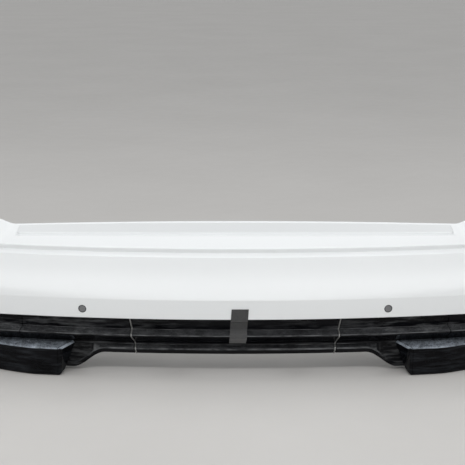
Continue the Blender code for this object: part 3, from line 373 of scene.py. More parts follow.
# ---------------------------------------------------------------- section of the black lower skins
def recess_depth(arc):
    return RECESS_DEPTH - 0.004 * float(smooth(abs(arc), VALANCE_BLEND_START, SIDE_START))


def valance_section(arc):
    run = abs(arc)
    side = float(smooth(run, VALANCE_BLEND_START, SIDE_START))
    drop = float(smooth(run, DROP_START, DROP_END))
    ridge = RIDGE_FRONT + 0.012 * side
    foot = FACET_A_FOOT_DEPTH - 0.004 * side
    window = []
    for height in (VALANCE_TOP_Z - WINDOW_MARGIN, FACET_A_FOOT_Z + WINDOW_MARGIN):
        share = (VALANCE_TOP_Z - height) / (VALANCE_TOP_Z - FACET_A_FOOT_Z)
        window.append((VALANCE_EDGE_DEPTH + (foot - VALANCE_EDGE_DEPTH) * share, height))
    return [
        (VALANCE_EDGE_DEPTH + ARCH_FLANGE, VALANCE_TOP_Z),
        (VALANCE_EDGE_DEPTH, VALANCE_TOP_Z),
        *window,
        (foot, FACET_A_FOOT_Z),
        (ridge + 0.002, RIDGE_TOP_Z),
        (ridge, RIDGE_TOP_Z - 0.0045),
        (recess_depth(run), RECESS_Z),
        (0.016 + 0.020 * drop, LIP_BEAD_Z - DROP * drop),
        (0.013 + 0.021 * drop, LIP_BEAD_Z - 0.005 - DROP * drop),
        (BOTTOM_DEPTH + 0.017 * drop, BOTTOM_Z - DROP * drop),
        (BOTTOM_DEPTH + 0.017 * drop + ARCH_FLANGE, BOTTOM_Z - DROP * drop),
    ]


VALANCE_CORNERS = [
    (0, 0), (0.0016, 4), (0, 0), (0, 0), (0.0030, 5), (0.0022, 4), (0.0030, 5), (0.0060, 6),
    (0.0040, 5), (0.0030, 5), (0.0022, 4), (0, 0),
]
VALANCE_INNER = inner_corners(VALANCE_CORNERS)
WINDOW_TOP_ROW = rows_before(VALANCE_CORNERS, 2)


def valance_ring(arc, inset=0.0):
    points = valance_section(arc)
    outside = offset_line(points, -inset) if inset else points
    return (rounded(outside, VALANCE_CORNERS),
            rounded(offset_line(points, -(WALL - inset)), VALANCE_INNER))


def seam_arc(height):
    share = (VALANCE_TOP_Z - height) / (VALANCE_TOP_Z - BOTTOM_Z)
    return SEAM_TOP_ARC + (SEAM_FOOT_ARC - SEAM_TOP_ARC) * share


# ---------------------------------------------------------------- mesh helpers
def link_object(name, mesh, body, slot_name, node=None, surface=None):
    """Puts one visible piece on its body, in its slot, in place of its CAD node."""
    thing = bpy.data.objects.new(name, mesh)
    bpy.context.scene.collection.objects.link(thing)
    mesh.materials.clear()
    mesh.materials.append(surface or SURFACES[slot_name])
    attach(thing, body)
    if node:
        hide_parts(node)
    return thing


def shade(mesh, degrees=32.0):
    mesh.polygons.foreach_set("use_smooth", [True] * len(mesh.polygons))
    mesh.set_sharp_from_angle(angle=math.radians(degrees))


def closed_mesh(name, verts, faces, degrees=32.0):
    mesh = bpy.data.meshes.new(name)
    mesh.from_pydata([tuple(v) for v in verts], [], [tuple(int(i) for i in f) for f in faces])
    bm = bmesh.new()
    bm.from_mesh(mesh)
    bmesh.ops.remove_doubles(bm, verts=bm.verts, dist=0.000008)
    bmesh.ops.dissolve_degenerate(bm, dist=0.000008, edges=bm.edges)
    bmesh.ops.recalc_face_normals(bm, faces=bm.faces)
    bm.to_mesh(mesh)
    bm.free()
    shade(mesh, degrees)
    return mesh


def link_skin(name, mesh, node, body=FIXED, slot_name="gloss_black", surface=None):
    """A moulded skin, whose large faces decide the shading, so flats next to fillets stay flat."""
    thing = link_object(name, mesh, body, slot_name, node, surface)
    step = thing.modifiers.new("Weighted normals", "WEIGHTED_NORMAL")
    step.mode = "FACE_AREA"
    step.weight = 60
    step.keep_sharp = True


def loop_column(outer_arcs, inner_arcs, outer, inner):
    """One closed loop of a skin: its outer face downwards, then its inner face upwards."""
    out = place(outer_arcs, outer[:, 0], outer[:, 1])
    back = place(inner_arcs, inner[:, 0], inner[:, 1])
    return np.vstack([out, back[::-1]])


class Skin:
    """A closed moulded skin: loops side by side, with holes and windows through it."""

    def __init__(self, columns):
        self.loops = np.array(columns)
        self.count, self.size = self.loops.shape[:2]
        self.verts = [self.loops.reshape(-1, 3)]
        self.total = self.count * self.size
        self.skip = set()
        self.extra = []

    def index(self, column, row, inside=False):
        return column * self.size + (self.size - 1 - row if inside else row)

    def block(self, c0, c1, r0, r1):
        """Leaves out a block of both faces and returns its boundary as (column, row)."""
        for c in range(c0, c1):
            for r in range(r0, r1):
                self.skip.add((c, r))
                self.skip.add((c, self.size - 2 - r))
        low = [(c, r0) for c in range(c0, c1)]
        right = [(c1, r) for r in range(r0, r1)]
        high = [(c, r1) for c in range(c1, c0, -1)]
        left = [(c0, r) for r in range(r1, r0, -1)]
        return low + right + high + left

    def bridge(self, first, second):
        size = len(first)
        for k in range(size):
            n = (k + 1) % size
            self.extra.append((first[k], first[n], second[n], second[k]))

    def add(self, points):
        start = self.total
        self.verts.append(np.asarray(points))
        self.total += len(points)
        return list(range(start, self.total))

    def window(self, c0, c1, r0, r1):
        edge = self.block(c0, c1, r0, r1)
        self.bridge([self.index(c, r) for c, r in edge], [self.index(c, r, True) for c, r in edge])

    def hole(self, c0, c1, r0, r1, arcs, heights, centre_arc, centre_height, radius):
        """A round hole in the lower facet, stitched to the block round it."""
        edge = self.block(c0, c1, r0, r1)
        flat = np.array([(arcs[c], heights[r - r0]) for c, r in edge])
        middle = np.array([centre_arc, centre_height])
        start = math.atan2(flat[0][1] - middle[1], flat[0][0] - middle[0])
        turn = math.atan2(flat[1][1] - middle[1], flat[1][0] - middle[0]) - start
        turn = math.copysign(2 * math.pi / len(edge), math.sin(turn))
        angles = start + turn * np.arange(len(edge))
        circle = middle + radius * np.stack([np.cos(angles), np.sin(angles)], axis=1)
        inward = np.array([LOWER_FACET, LIP_DEPTH]) / math.hypot(LOWER_FACET, LIP_DEPTH) * WALL
        rims = []
        for inside in (False, True):
            last = [self.index(c, r, inside) for c, r in edge]
            for share in (0.35, 0.7, 0.92, 1.0):
                ring = flat + (circle - flat) * share
                depth = facet_depth(ring[:, 1])
                height = ring[:, 1]
                if inside:
                    depth = depth + inward[0]
                    height = height + inward[1]
                new = self.add(place(ring[:, 0], depth, height))
                self.bridge(last, new)
                last = new
            rims.append(last)
        self.bridge(rims[0], rims[1])

    def mesh(self, name, degrees=32.0, boxed=False):
        """boxed closes each end over both faces, otherwise only the wall between them is closed."""
        faces = list(self.extra)
        for c in range(self.count - 1):
            for r in range(self.size):
                if (c, r) in self.skip:
                    continue
                n = (r + 1) % self.size
                faces.append((c * self.size + r, c * self.size + n,
                              (c + 1) * self.size + n, (c + 1) * self.size + r))
        half = self.size // 2
        for c in (0, self.count - 1):
            outer = [self.index(c, r) for r in range(half)]
            inner = [self.index(c, r, True) for r in range(half)]
            if boxed:
                faces += [outer, inner, (outer[0], outer[-1], inner[-1], inner[0])]
            else:
                faces += [(outer[r], outer[r + 1], inner[r + 1], inner[r]) for r in range(half - 1)]
        return closed_mesh(name, np.vstack(self.verts), faces, degrees)


def arch_columns(ring, count, corners, low_depth):
    """Columns from the side's start to the wheel arch, its rolled edge and its flange, on the +X side."""
    top_rows = rows_before(corners, 2)
    low_rows = rows_before(corners, len(corners)) - rows_before(corners, len(corners) - 2)
    faces = []
    for line, back, roll in zip(ring, (0.0, WALL), (ARCH_ROLL, INNER_ROLL)):
        limit = line[:, 0].copy()
        limit[:top_rows] = np.minimum(limit[:top_rows], SIDE_EDGE_DEPTH + back)
        limit[-low_rows:] = np.minimum(limit[-low_rows:], low_depth + back)
        limit += ARCH_FLANGE - back
        edge = arch_arc(line[:, 1]) - back
        steps = [(SIDE_START + (edge - roll - SIDE_START) * share, 0.0)
                 for share in np.linspace(0.0, 1.0, count)[1:]]
        steps += [(edge - roll * (1 - math.sin(turn)), roll * (1 - math.cos(turn)))
                  for turn in np.radians((22.5, 45.0, 67.5, 90.0))]
        steps += [(edge, (ARCH_FLANGE - back) * share) for share in (0.5, 1.0)]
        faces.append([place(arcs, np.maximum(np.minimum(line[:, 0] + deep, limit), line[:, 0]), line[:, 1])
                      for arcs, deep in steps])
    return [np.vstack([out, back[::-1]]) for out, back in zip(*faces)]


def mirrored(columns):
    return [column * np.array([-1.0, 1.0, 1.0]) for column in columns]


# ---------------------------------------------------------------- painted cover
def cover_arcs():
    bend = PAD_END - PAD_END_RADIUS
    runs = [
        np.arange(0.0, bend - 0.004, 0.010),
        bend + PAD_END_RADIUS * np.sin(np.radians(np.arange(0, 91, 9))),
        PAD_END + PAD_FADE * np.linspace(0, 1, 6),
        np.arange(PAD_END + PAD_FADE + 0.003, 0.68, 0.005),
        np.arange(0.68, SIDE_START - 0.004, 0.008),
    ]
    marks = set(np.round(np.concatenate(runs), 5))
    for centre in SENSOR_ARCS:
        block = np.linspace(centre - BLOCK, centre + BLOCK, BLOCK_STEPS + 1)
        marks = {m for m in marks if abs(m - centre) > BLOCK + 0.003} | set(np.round(block, 5))
    return sorted(float(m) for m in marks) + [SIDE_START]


def make_cover():
    arcs = cover_arcs()
    right = [loop_column(arc, arc, *cover_ring(arc)) for arc in arcs]
    side = arch_columns(cover_ring(SIDE_START), 14, COVER_CORNERS, LIP_DEPTH)
    right += side
    skin = Skin(mirrored(right[:0:-1]) + right)
    first_row = rows_before(COVER_CORNERS, CREASE_ROW + 1)
    heights = sensor_rows()
    signed = [-arc for arc in arcs[:0:-1]] + arcs
    signed = [0.0] * len(side) + signed + [0.0] * len(side)
    for centre in SENSOR_ARCS:
        for sign in (-1.0, 1.0):
            start = min(range(len(signed)), key=lambda c: abs(signed[c] - (sign * centre - BLOCK)))
            skin.hole(start, start + BLOCK_STEPS, first_row, first_row + BLOCK_STEPS, signed,
                      heights, sign * centre, 0.5 * (heights[0] + heights[-1]), HOLE_RADIUS)
    link_skin("cover_skin", skin.mesh("cover_skin"), "bumper_cover", slot_name="white_paint")


# ---------------------------------------------------------------- black lower skins
EDGE_INSET = 0.0007
BLACK_STEP = 0.008             # between columns of the black skins


def valance_columns(stations, shift, sign):
    """stations are (arc, inset); shift gives each row's lean at an arc."""
    columns = []
    for arc, inset in stations:
        outer, inner = valance_ring(arc, inset)
        columns.append(loop_column(sign * (arc + shift(arc, outer[:, 1])),
                                   sign * (arc + shift(arc, inner[:, 1])), outer, inner))
    return columns


def seam_lean(arc, heights):
    fade = 1.0 - float(smooth(arc, SEAM_TOP_ARC + 0.003, 0.325))
    return (seam_arc(heights) - SEAM_TOP_ARC) * fade


def no_lean(arc, heights):
    return 0.0 * heights


def soft_stations(start, end, ends=(True, True)):
    """Arcs from start to end with a small inset at the free ends, which rounds them."""
    count = max(2, int(round((end - start) / BLACK_STEP)) + 1)
    soft = [(0.0, EDGE_INSET), (0.0003, EDGE_INSET * 0.3), (EDGE_INSET, 0.0)]
    first, last = [soft if free else [(0.0, 0.0)] for free in ends]
    stations = [(start + along, inset) for along, inset in first]
    stations += [(float(arc), 0.0) for arc in np.linspace(start, end, count)[1:-1]]
    return stations + [(end - along, inset) for along, inset in last[::-1]]


def make_valances():
    for side, sign in SIDES:
        start = SEAM_TOP_ARC + SEAM / 2
        end = OUTER_SEAM_ARC - SEAM / 2
        skin = Skin(valance_columns(soft_stations(start, end), seam_lean, sign))
        name = "valance_skin_" + side
        link_skin(name, skin.mesh(name), "valance_" + side)


def make_seam_tabs():
    """The joggled lip that each valance carries behind its two seams."""
    reach = 0.006
    for side, sign in SIDES:
        for label, centre, lean in (("inner", SEAM_TOP_ARC, seam_lean), ("outer", OUTER_SEAM_ARC, no_lean)):
            columns = []
            for arc in np.linspace(centre - reach, centre + reach, 7):
                points = valance_section(arc)[1:11]
                outer = rounded(offset_line(points, -WALL - 0.0003), VALANCE_INNER[1:11])
                inner = rounded(offset_line(points, -WALL - 0.0015), VALANCE_INNER[1:11])
                columns.append(loop_column(sign * (arc + lean(centre, outer[:, 1])),
                                           sign * (arc + lean(centre, inner[:, 1])), outer, inner))
            name = f"seam_tab_{label}_{side}"
            link_object(name, Skin(columns).mesh(name), FIXED, "gloss_black")


def make_corners():
    for side, sign in SIDES:
        start = OUTER_SEAM_ARC + SEAM / 2
        window = (REFLECTOR_FROM - WINDOW_GROW, REFLECTOR_TO + WINDOW_GROW)
        stations = soft_stations(start, window[0], (True, False))
        first = len(stations) - 1
        stations += soft_stations(window[0], window[1], (False, False))[1:]
        last = len(stations) - 1
        stations += soft_stations(window[1], SIDE_START, (False, False))[1:]
        columns = valance_columns(stations, no_lean, 1.0)
        columns += arch_columns(valance_ring(SIDE_START), 10, VALANCE_CORNERS, CORNER_FOOT_DEPTH)
        if sign < 0:
            columns = mirrored(columns)
        skin = Skin(columns)
        skin.window(first, last, WINDOW_TOP_ROW, WINDOW_TOP_ROW + 1)
        name = "corner_skin_" + side
        link_skin(name, skin.mesh(name), "corner_extension_" + side)


def make_panel():
    half = SEAM_TOP_ARC - SEAM / 2
    columns = []
    for arc, inset in soft_stations(-half, half):
        outer, inner = valance_ring(arc, inset)
        lean = arc / half
        columns.append(loop_column(arc + lean * (seam_arc(outer[:, 1]) - SEAM_TOP_ARC),
                                   arc + lean * (seam_arc(inner[:, 1]) - SEAM_TOP_ARC), outer, inner))
    link_skin("access_panel_skin", Skin(columns).mesh("access_panel_skin"), "tow_access_panel", PANEL)


# ---------------------------------------------------------------- wings
def wing_section(arc):
    front = WING_FRONT + WING_TAPER * float(smooth(abs(arc), 0.50, 0.66))
    back = recess_depth(arc) - WING_CLEAR
    return [
        (back, WING_TOP_Z),
        (front + 0.004, WING_EDGE_Z + 0.004),
        (front, WING_EDGE_Z),
        (front + 0.006, 0.004),
        (front + 0.009, 0.0),
        (back, 0.0),
    ]


WING_CORNERS = [(0, 0), (0.0040, 5), (0.0040, 5), (0.0030, 4), (0.0020, 4), (0, 0)]


def wing_lean(arc, line):
    """The inner end leans: its top runs further inboard towards the back."""
    front = WING_FRONT
    back = RECESS_DEPTH - WING_CLEAR
    share = np.clip((line[:, 0] - front) / (back - front), 0.0, 1.0)
    top = (WING_INNER_BACK - WING_INNER_FRONT) * share
    down = np.clip((WING_EDGE_Z - line[:, 1]) / (WING_EDGE_Z - 0.004), 0.0, 1.0)
    low = (WING_INNER_FOOT - WING_INNER_FRONT) * down
    lean = np.where(line[:, 1] > WING_EDGE_Z - 0.001, top, low)
    return lean * (1.0 - float(smooth(arc, WING_INNER_FRONT + 0.008, 0.495)))


def make_wings():
    end = float(arch_arc(0.0)) - 0.020
    for side, sign in SIDES:
        stations = [(WING_INNER_FRONT, WING_CHAMFER), (WING_INNER_FRONT + 0.0008, WING_CHAMFER - 0.0010)]
        rim = WING_INNER_FRONT + WING_CHAMFER
        stations += [(rim - 0.0008, 0.0006), (rim + 0.0002, 0.0001), (rim + 0.0010, 0.0),
                     (rim + 0.0014, 0.0014), (rim + 0.0024, 0.0014), (rim + 0.0028, 0.0)]
        for arc in np.linspace(WING_INNER_FRONT + 0.012, end - 0.006, 84):
            stations.append((float(arc), 0.0))
        stations += [(end - 0.0030, 0.0), (end - 0.0010, 0.0006), (end, 0.0026)]
        columns = []
        first = WING_INNER_FOOT + WALL
        for arc, inset in stations:
            points = np.array(wing_section(arc))
            moved = offset_line(points, -inset) if inset else points
            within = min(max(arc, first), end - WALL)
            hollow = offset_line(np.array(wing_section(within)), -WALL)
            for line in (moved, hollow):
                line[0, 0] = points[0, 0]
                line[-1, 0] = points[-1, 0]
            outer = rounded(moved, WING_CORNERS)
            inner = rounded(hollow, WING_CORNERS)
            share = (arc - WING_INNER_FRONT) / (end - WING_INNER_FRONT)
            at = first + (end - WALL - first) * share
            lean = np.minimum(wing_lean(arc, inner), 0.0) * 0.8
            columns.append(loop_column(sign * (arc + wing_lean(arc, outer)), sign * (at + lean),
                                       outer, inner))
        name = "wing_skin_" + side
        mesh = Skin(columns).mesh(name, 24.0, boxed=True)
        link_skin(name, mesh, "wing_" + side, surface=WING_BLACK)


# ---------------------------------------------------------------- strap and strips on the skin
def laid_strip(name, line, corners, centre_at, width, thick, slot_name, node, surface=None):
    """A thin strip that follows a rounded (depth, height) line, its long edges softened."""
    soft = min(0.35 * thick, 0.0005)
    half = 0.5 * width
    edge = [half - soft, half - 0.4 * soft, half]
    across = [-side for side in edge[::-1]] + list(np.linspace(-half, half, 9))[1:-1] + edge
    insets = [soft, 0.3 * soft] + [0.0] * (len(across) - 4) + [0.3 * soft, soft]
    columns = []
    for shift, inset in zip(across, insets):
        outer = rounded(offset_line(line, GAP + thick - inset), corners)
        inner = rounded(offset_line(line, GAP + 0.3 * inset), corners)
        columns.append(loop_column(centre_at(outer[:, 1]) + shift, centre_at(inner[:, 1]) + shift,
                                   outer, inner))
    link_object(name, Skin(columns).mesh(name), PANEL, slot_name, node, surface)


def make_strap():
    panel = valance_section(0.0)
    facet_share = (CREASE_Z - STRAP_TOP_Z) / LOWER_FACET
    ridge, recess = panel[6:8]
    end = tuple(a + (b - a) * STRAP_END_SHARE for a, b in zip(ridge, recess))
    line = [
        (LIP_DEPTH * facet_share, STRAP_TOP_Z), (LIP_DEPTH, LIP_Z), (panel[1][0], VALANCE_TOP_Z - 0.004),
        panel[4], panel[5], ridge, end,
    ]
    corners = [(0, 0), (0.004, 5), (0.004, 5), (0.004, 5), (0.0028, 4), (0.0036, 5), (0, 0)]

    def centre_at(height):
        share = (STRAP_TOP_Z - height) / (STRAP_TOP_Z - RECESS_Z)
        return STRAP_X_TOP + (STRAP_X_FOOT - STRAP_X_TOP) * share

    laid_strip("strap", line, corners, centre_at, STRAP_WIDTH, STRAP_THICK, "black_rubber",
               "pull_strap", STRAP)


def make_strips():
    for side, sign in SIDES:
        line = valance_section(SEAM_TOP_ARC)[1:11]
        corners = VALANCE_CORNERS[1:11]

        def centre_at(height, sign=sign):
            return sign * (seam_arc(height) - SEAM / 2 - STRIP_WIDTH / 2 - 0.0005)

        laid_strip("seam_strip_" + side, line, corners, centre_at, STRIP_WIDTH, STRIP_THICK,
                   "satin_silver", "edge_strip_" + side)


# ---------------------------------------------------------------- turned pieces
def lathe_parts(profile, steps=48):
    """Vertices and faces of a profile (radius, height, fillet) turned about Z."""
    line = rounded([(r, z) for r, z, _ in profile], [(f, 4) for _, _, f in profile])
    angles = np.linspace(0.0, 2 * math.pi, steps, endpoint=False)
    verts = []
    for radius, height in line:
        verts += [(radius * math.cos(a), radius * math.sin(a), height) for a in angles]
    faces = []
    for k in range(len(line) - 1):
        for s in range(steps):
            n = (s + 1) % steps
            faces.append((k * steps + s, k * steps + n, (k + 1) * steps + n, (k + 1) * steps + s))
    return verts, faces


def join_parts(parts):
    verts = []
    faces = []
    for part_verts, part_faces in parts:
        start = len(verts)
        verts += list(part_verts)
        faces += [tuple(i + start for i in face) for face in part_faces]
    return verts, faces


def turned(name, parts, matrix, slot_name, node, body=FIXED, degrees=35.0):
    verts, faces = join_parts(parts)
    mesh = closed_mesh(name, verts, faces, degrees)
    mesh.transform(matrix)
    link_object(name, mesh, body, slot_name, node)


def axis_matrix(point, outward):
    turn = Vector(outward).to_track_quat("Z", "Y").to_matrix().to_4x4()
    return Matrix.Translation(point) @ turn


def box_parts(size, centre, bevel):
    bm = bmesh.new()
    bmesh.ops.create_cube(bm, size=1.0)
    bmesh.ops.scale(bm, vec=size, verts=bm.verts)
    bmesh.ops.translate(bm, vec=centre, verts=bm.verts)
    bmesh.ops.bevel(bm, geom=list(bm.edges), offset=bevel, segments=2, affect="EDGES", profile=0.5)
    bm.verts.index_update()
    verts = [tuple(v.co) for v in bm.verts]
    faces = [tuple(v.index for v in f.verts) for f in bm.faces]
    bm.free()
    return verts, faces


def facet_frame(arc):
    def point(run, share):
        return spot(run, LIP_DEPTH * share, CREASE_Z - LOWER_FACET * share)

    along = point(arc + 0.002, SENSOR_SHARE) - point(arc - 0.002, SENSOR_SHARE)
    down = point(arc, 1.0) - point(arc, 0.0)
    outward = down.cross(along).normalized()
    if arc < 0 and outward.x > 0.0:
        outward = -outward
    if outward.y > 0.0:
        outward = -outward
    return axis_matrix(point(arc, SENSOR_SHARE), outward)


def sensor_seat(arc):
    curvature = float(plan_heading(abs(arc) + 0.01) - plan_heading(abs(arc) - 0.01)) / 0.02
    return WALL + GAP + 0.0004 + 0.9 * curvature * HOLDER_PLATE ** 2


def make_sensors():
    arcs = (-SENSOR_ARCS[1], -SENSOR_ARCS[0], SENSOR_ARCS[0], SENSOR_ARCS[1])
    for number, arc in enumerate(arcs, start=1):
        matrix = facet_frame(arc)
        seat = sensor_seat(arc)
        start = seat + HOLDER_WALL + 0.0006
        low = -start - SENSOR_BODY
        nose = [
            (0.0, -0.0003, 0), (SENSOR_RADIUS - 0.0022, -0.0002, 0.0004),
            (SENSOR_RADIUS - 0.0016, 0.0, 0.0003), (SENSOR_RADIUS, -0.0001, 0.0006),
            (SENSOR_RADIUS, -start, 0.0003), (SENSOR_FLANGE, -start, 0.0006),
            (SENSOR_FLANGE, -start - 0.006, 0.0003),
            (SENSOR_FLANGE - 0.0006, -start - 0.0068, 0.0003),
            (SENSOR_FLANGE - 0.0006, -start - 0.0088, 0.0003),
            (SENSOR_FLANGE, -start - 0.0096, 0.0003), (SENSOR_FLANGE, low, 0.0006),
            (SENSOR_FLANGE - 0.003, low - 0.001, 0.0004), (0.0, low - 0.001, 0),
        ]
        parts = [lathe_parts(nose)]
        back = low - 0.006
        for x, y, sx, sy in ((0, 0.0045, 0.016, 0.002), (0, -0.0045, 0.016, 0.002),
                             (0.007, 0, 0.002, 0.011), (-0.007, 0, 0.002, 0.011)):
            parts.append(box_parts((sx, sy, 0.0158), (x, y, back), 0.0003))
        for x in (-0.0034, 0.0, 0.0034):
            parts.append(box_parts((0.0009, 0.0009, 0.009), (x, 0.0, back + 0.001), 0.0002))
        turned(f"sensor_{number}", parts, matrix, "sensor_grey", f"parking_sensor_{number}")
        inner = SENSOR_RADIUS + GAP
        middle = 0.5 * (inner + RING_RADIUS)
        ring = [
            (inner, -WALL - 0.0002, 0), (inner, -0.0003, 0.0005), (middle, 0.0, 0.0007),
            (RING_RADIUS, -0.0004, 0.0006), (RING_RADIUS, -WALL - 0.0002, 0.0003), (inner, -WALL - 0.0002, 0),
        ]
        turned(f"sensor_seal_{number}", [lathe_parts(ring, 56)], matrix, "black_rubber",
               f"sensor_ring_{number}")
        bore = HOLE_RADIUS + 0.0006
        sleeve = SENSOR_FLANGE + 0.0005
        top = -seat
        foot = top - HOLDER_WALL
        holder = [
            (bore, foot, 0), (bore, top, 0.0003), (HOLDER_PLATE, top, 0.0006), (HOLDER_PLATE, foot, 0.0006),
            (sleeve + 0.002, foot, 0.0008), (sleeve + 0.002, foot - 0.014, 0.0006),
            (sleeve, foot - 0.014, 0.0004), (sleeve, foot, 0.0003), (bore, foot, 0),
        ]
        parts = [lathe_parts(holder, 56)]
        for k in range(4):
            angle = math.radians(45 + 90 * k)
            spread = sleeve + 0.0035
            verts, faces = box_parts((0.004, 0.0014, 0.011), (spread, 0.0, foot - 0.0056), 0.0003)
            spin = Matrix.Rotation(angle, 4, "Z")
            parts.append(([tuple(spin @ Vector(v)) for v in verts], faces))
        turned(f"sensor_clip_ring_{number}", parts, matrix, "black_plastic", f"sensor_holder_{number}")


def clip_frame(rows, sign, height):
    """The CAD's clip seat: on the chord of the wheel-arch flange at this height."""
    for (_, high), (_, low) in zip(rows[1:-2], rows[2:-1]):
        if low <= height < high:
            break
    ends = []
    for row_height in (high, low):
        depth = [d for d, z in rows[1:-1] if abs(z - row_height) < 0.0001][-1]
        ends.append(spot(sign * float(arch_arc(row_height)), depth + 0.55 * ARCH_FLANGE, row_height))
    share = (high - height) / (high - low)
    point = ends[0].lerp(ends[1], share)
    outward = Vector((-sign, 0.0, 0.0)).cross(ends[1] - ends[0])
    if outward.y < 0.0:
        outward.negate()
    return axis_matrix(point, outward.normalized())


def plain_rows(section, skipped):
    return [row for index, row in enumerate(section(SIDE_START + 0.2)) if index not in skipped]


def make_clips():
    sensor_range = range(CREASE_ROW + 1, CREASE_ROW + BLOCK_STEPS + 2)
    rows = (plain_rows(cover_section, {6, *sensor_range}), plain_rows(valance_section, {2, 3}))
    bore = 0.0022
    shank = CLIP_HOLE - GAP
    for side, sign in SIDES:
        for number, (height, line) in enumerate(zip(CLIP_HEIGHTS, rows), start=1):
            matrix = clip_frame(line, sign, height)
            body = [
                (bore, -CLIP_LENGTH, 0), (bore, 0.0030, 0.0004), (CLIP_HEAD - 0.0008, 0.0030, 0.0006),
                (CLIP_HEAD, 0.0022, 0.0005), (CLIP_HEAD, 0.0012, 0.0003), (shank, 0.0012, 0.0003),
                (shank, -0.0052, 0.0004), (shank - 0.0007, -0.0066, 0.0004), (shank, -0.0086, 0.0004),
                (shank, -0.0110, 0.0004), (shank - 0.0009, -CLIP_LENGTH, 0.0003), (bore, -CLIP_LENGTH, 0),
            ]
            turned(f"push_clip_{side}_{number}", [lathe_parts(body, 40)], matrix, "black_plastic",
                   f"clip_body_{side}_{number}")
            pin = [
                (0.0, 0.0044, 0), (0.0020, 0.0044, 0.0004), (0.0026, 0.0050, 0.0004),
                (0.0046, 0.0050, 0.0006), (0.0052, 0.0044, 0.0004), (0.0052, 0.0033, 0.0003),
                (0.0019, 0.0033, 0.0003),
                (0.0019, -CLIP_LENGTH + 0.002, 0.0006), (0.0, -CLIP_LENGTH, 0),
            ]
            node = f"clip_pin_{side}_{number}"
            turned(f"push_pin_{side}_{number}", [lathe_parts(pin, 40)], matrix, "black_plastic", node, node)


def thread(radius, top, low, pitch=0.00125, depth=0.0005):
    """Profile rows of a thread, drawn as close grooves."""
    rows = []
    height = top
    while height - pitch > low:
        rows.append((radius, height, 0))
        rows.append((radius - depth, height - 0.5 * pitch, 0))
        height -= pitch
    return rows


def hex_head(radius, low, high, chamfer):
    verts = []
    for height, scale in ((low, 1.0), (high - chamfer, 1.0), (high, 1.0 - chamfer / radius)):
        for k in range(6):
            a = math.radians(60 * k)
            verts.append((radius * scale * math.cos(a), radius * scale * math.sin(a), height))
    faces = [tuple(range(5, -1, -1)), tuple(range(12, 18))]
    for level in (0, 6):
        for k in range(6):
            n = (k + 1) % 6
            faces.append((level + k, level + n, level + 6 + n, level + 6 + k))
    return verts, faces


def node_centre(name):
    low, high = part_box(name)
    return (low + high) / 2


def make_bolts():
    for side, _ in SIDES:
        for number in range(1, 5):
            node = f"plate_bolt_{side}_{number}"
            centre = node_centre(node)
            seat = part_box(f"mounting_plate_{side}")[0].y
            matrix = axis_matrix(Vector((centre.x, seat, centre.z)), (0, -1, 0))
            washer = [
                (0.0, 0.0028, 0), (0.0074, 0.0028, 0.0004), (0.0095, 0.0014, 0.0003), (0.0095, GAP, 0.0003),
                (0.0049, GAP, 0), *thread(0.0049, -0.0070, -0.0240),
                (0.0040, -0.0255, 0.0003), (0.0, -0.0255, 0),
            ]
            parts = [lathe_parts(washer, 40), hex_head(0.0077, 0.0020, 0.0080, 0.0008)]
            turned(f"hex_bolt_{side}_{number}", parts, matrix, "zinc_steel", node, degrees=28.0)


def make_wing_screws():
    for side, _ in SIDES:
        for number in (1, 2):
            node = f"wing_screw_{side}_{number}"
            centre = node_centre(node)
            matrix = Matrix.Translation(Vector((centre.x, centre.y, 0.0)))
            profile = [
                (0.0, 0.0130, 0), (0.0007, 0.0128, 0), (0.0022, 0.0095, 0),
                *thread(0.0024, 0.0092, 0.0022, 0.0011, 0.0004),
                (0.0024, 0.0013, 0), (0.0064, 0.0012, 0.0003), (0.0055, 0.0004, 0.0003),
                (0.0026, 0.0004, 0.0002), (0.0022, 0.0010, 0.0002), (0.0, 0.0010, 0),
            ]
            turned(f"tapping_screw_{side}_{number}", [lathe_parts(profile, 36)], matrix, "zinc_steel", node)


# ---------------------------------------------------------------- finer copies of CAD shapes
def refined(node, name, slot_name, bevel, body=FIXED, degrees=30.0):
    """The CAD node's own shape with its edges broken."""
    source = NODES[node].data
    verts = [tuple(v.co) for v in source.vertices]
    faces = [tuple(p.vertices) for p in source.polygons]
    mesh = closed_mesh(name, verts, faces, degrees)
    bm = bmesh.new()
    bm.from_mesh(mesh)
    bmesh.ops.dissolve_limit(bm, angle_limit=math.radians(0.3), verts=bm.verts, edges=bm.edges)
    bm.to_mesh(mesh)
    bm.free()
    shade(mesh, degrees)
    thing = link_object(name, mesh, body, slot_name, node)
    step = thing.modifiers.new("Broken edges", "BEVEL")
    step.width = bevel
    step.segments = 3
    step.limit_method = "ANGLE"
    step.angle_limit = math.radians(degrees)
    step.harden_normals = True


def make_inner_pieces():
    refined("impact_beam", "beam", "coated_steel", 0.0022)
    refined("energy_absorber", "absorber", "grey_foam", 0.0030)
    refined("upper_rail", "support_rail", "zinc_steel", 0.0005)
    for side, _ in SIDES:
        for node, name, slot_name, bevel, body in (
            ("crash_box_", "crush_tube_", "coated_steel", 0.0007, FIXED),
            ("mounting_plate_", "base_plate_", "coated_steel", 0.0008, FIXED),
            ("side_bracket_", "flank_bracket_", "black_plastic", 0.0006, FIXED),
            ("lower_stay_", "panel_stay_", "zinc_steel", 0.0006, FIXED),
            ("quarter_turn_", "turn_fastener_", "black_plastic", 0.0003, "quarter_turn_" + side),
            ("reflector_lens_", "lens_", "red_reflector", 0.0006, FIXED),
            ("reflector_backing_", "lens_back_", "black_plastic", 0.0005, FIXED),
        ):
            refined(node + side, name + side, slot_name, bevel, body)


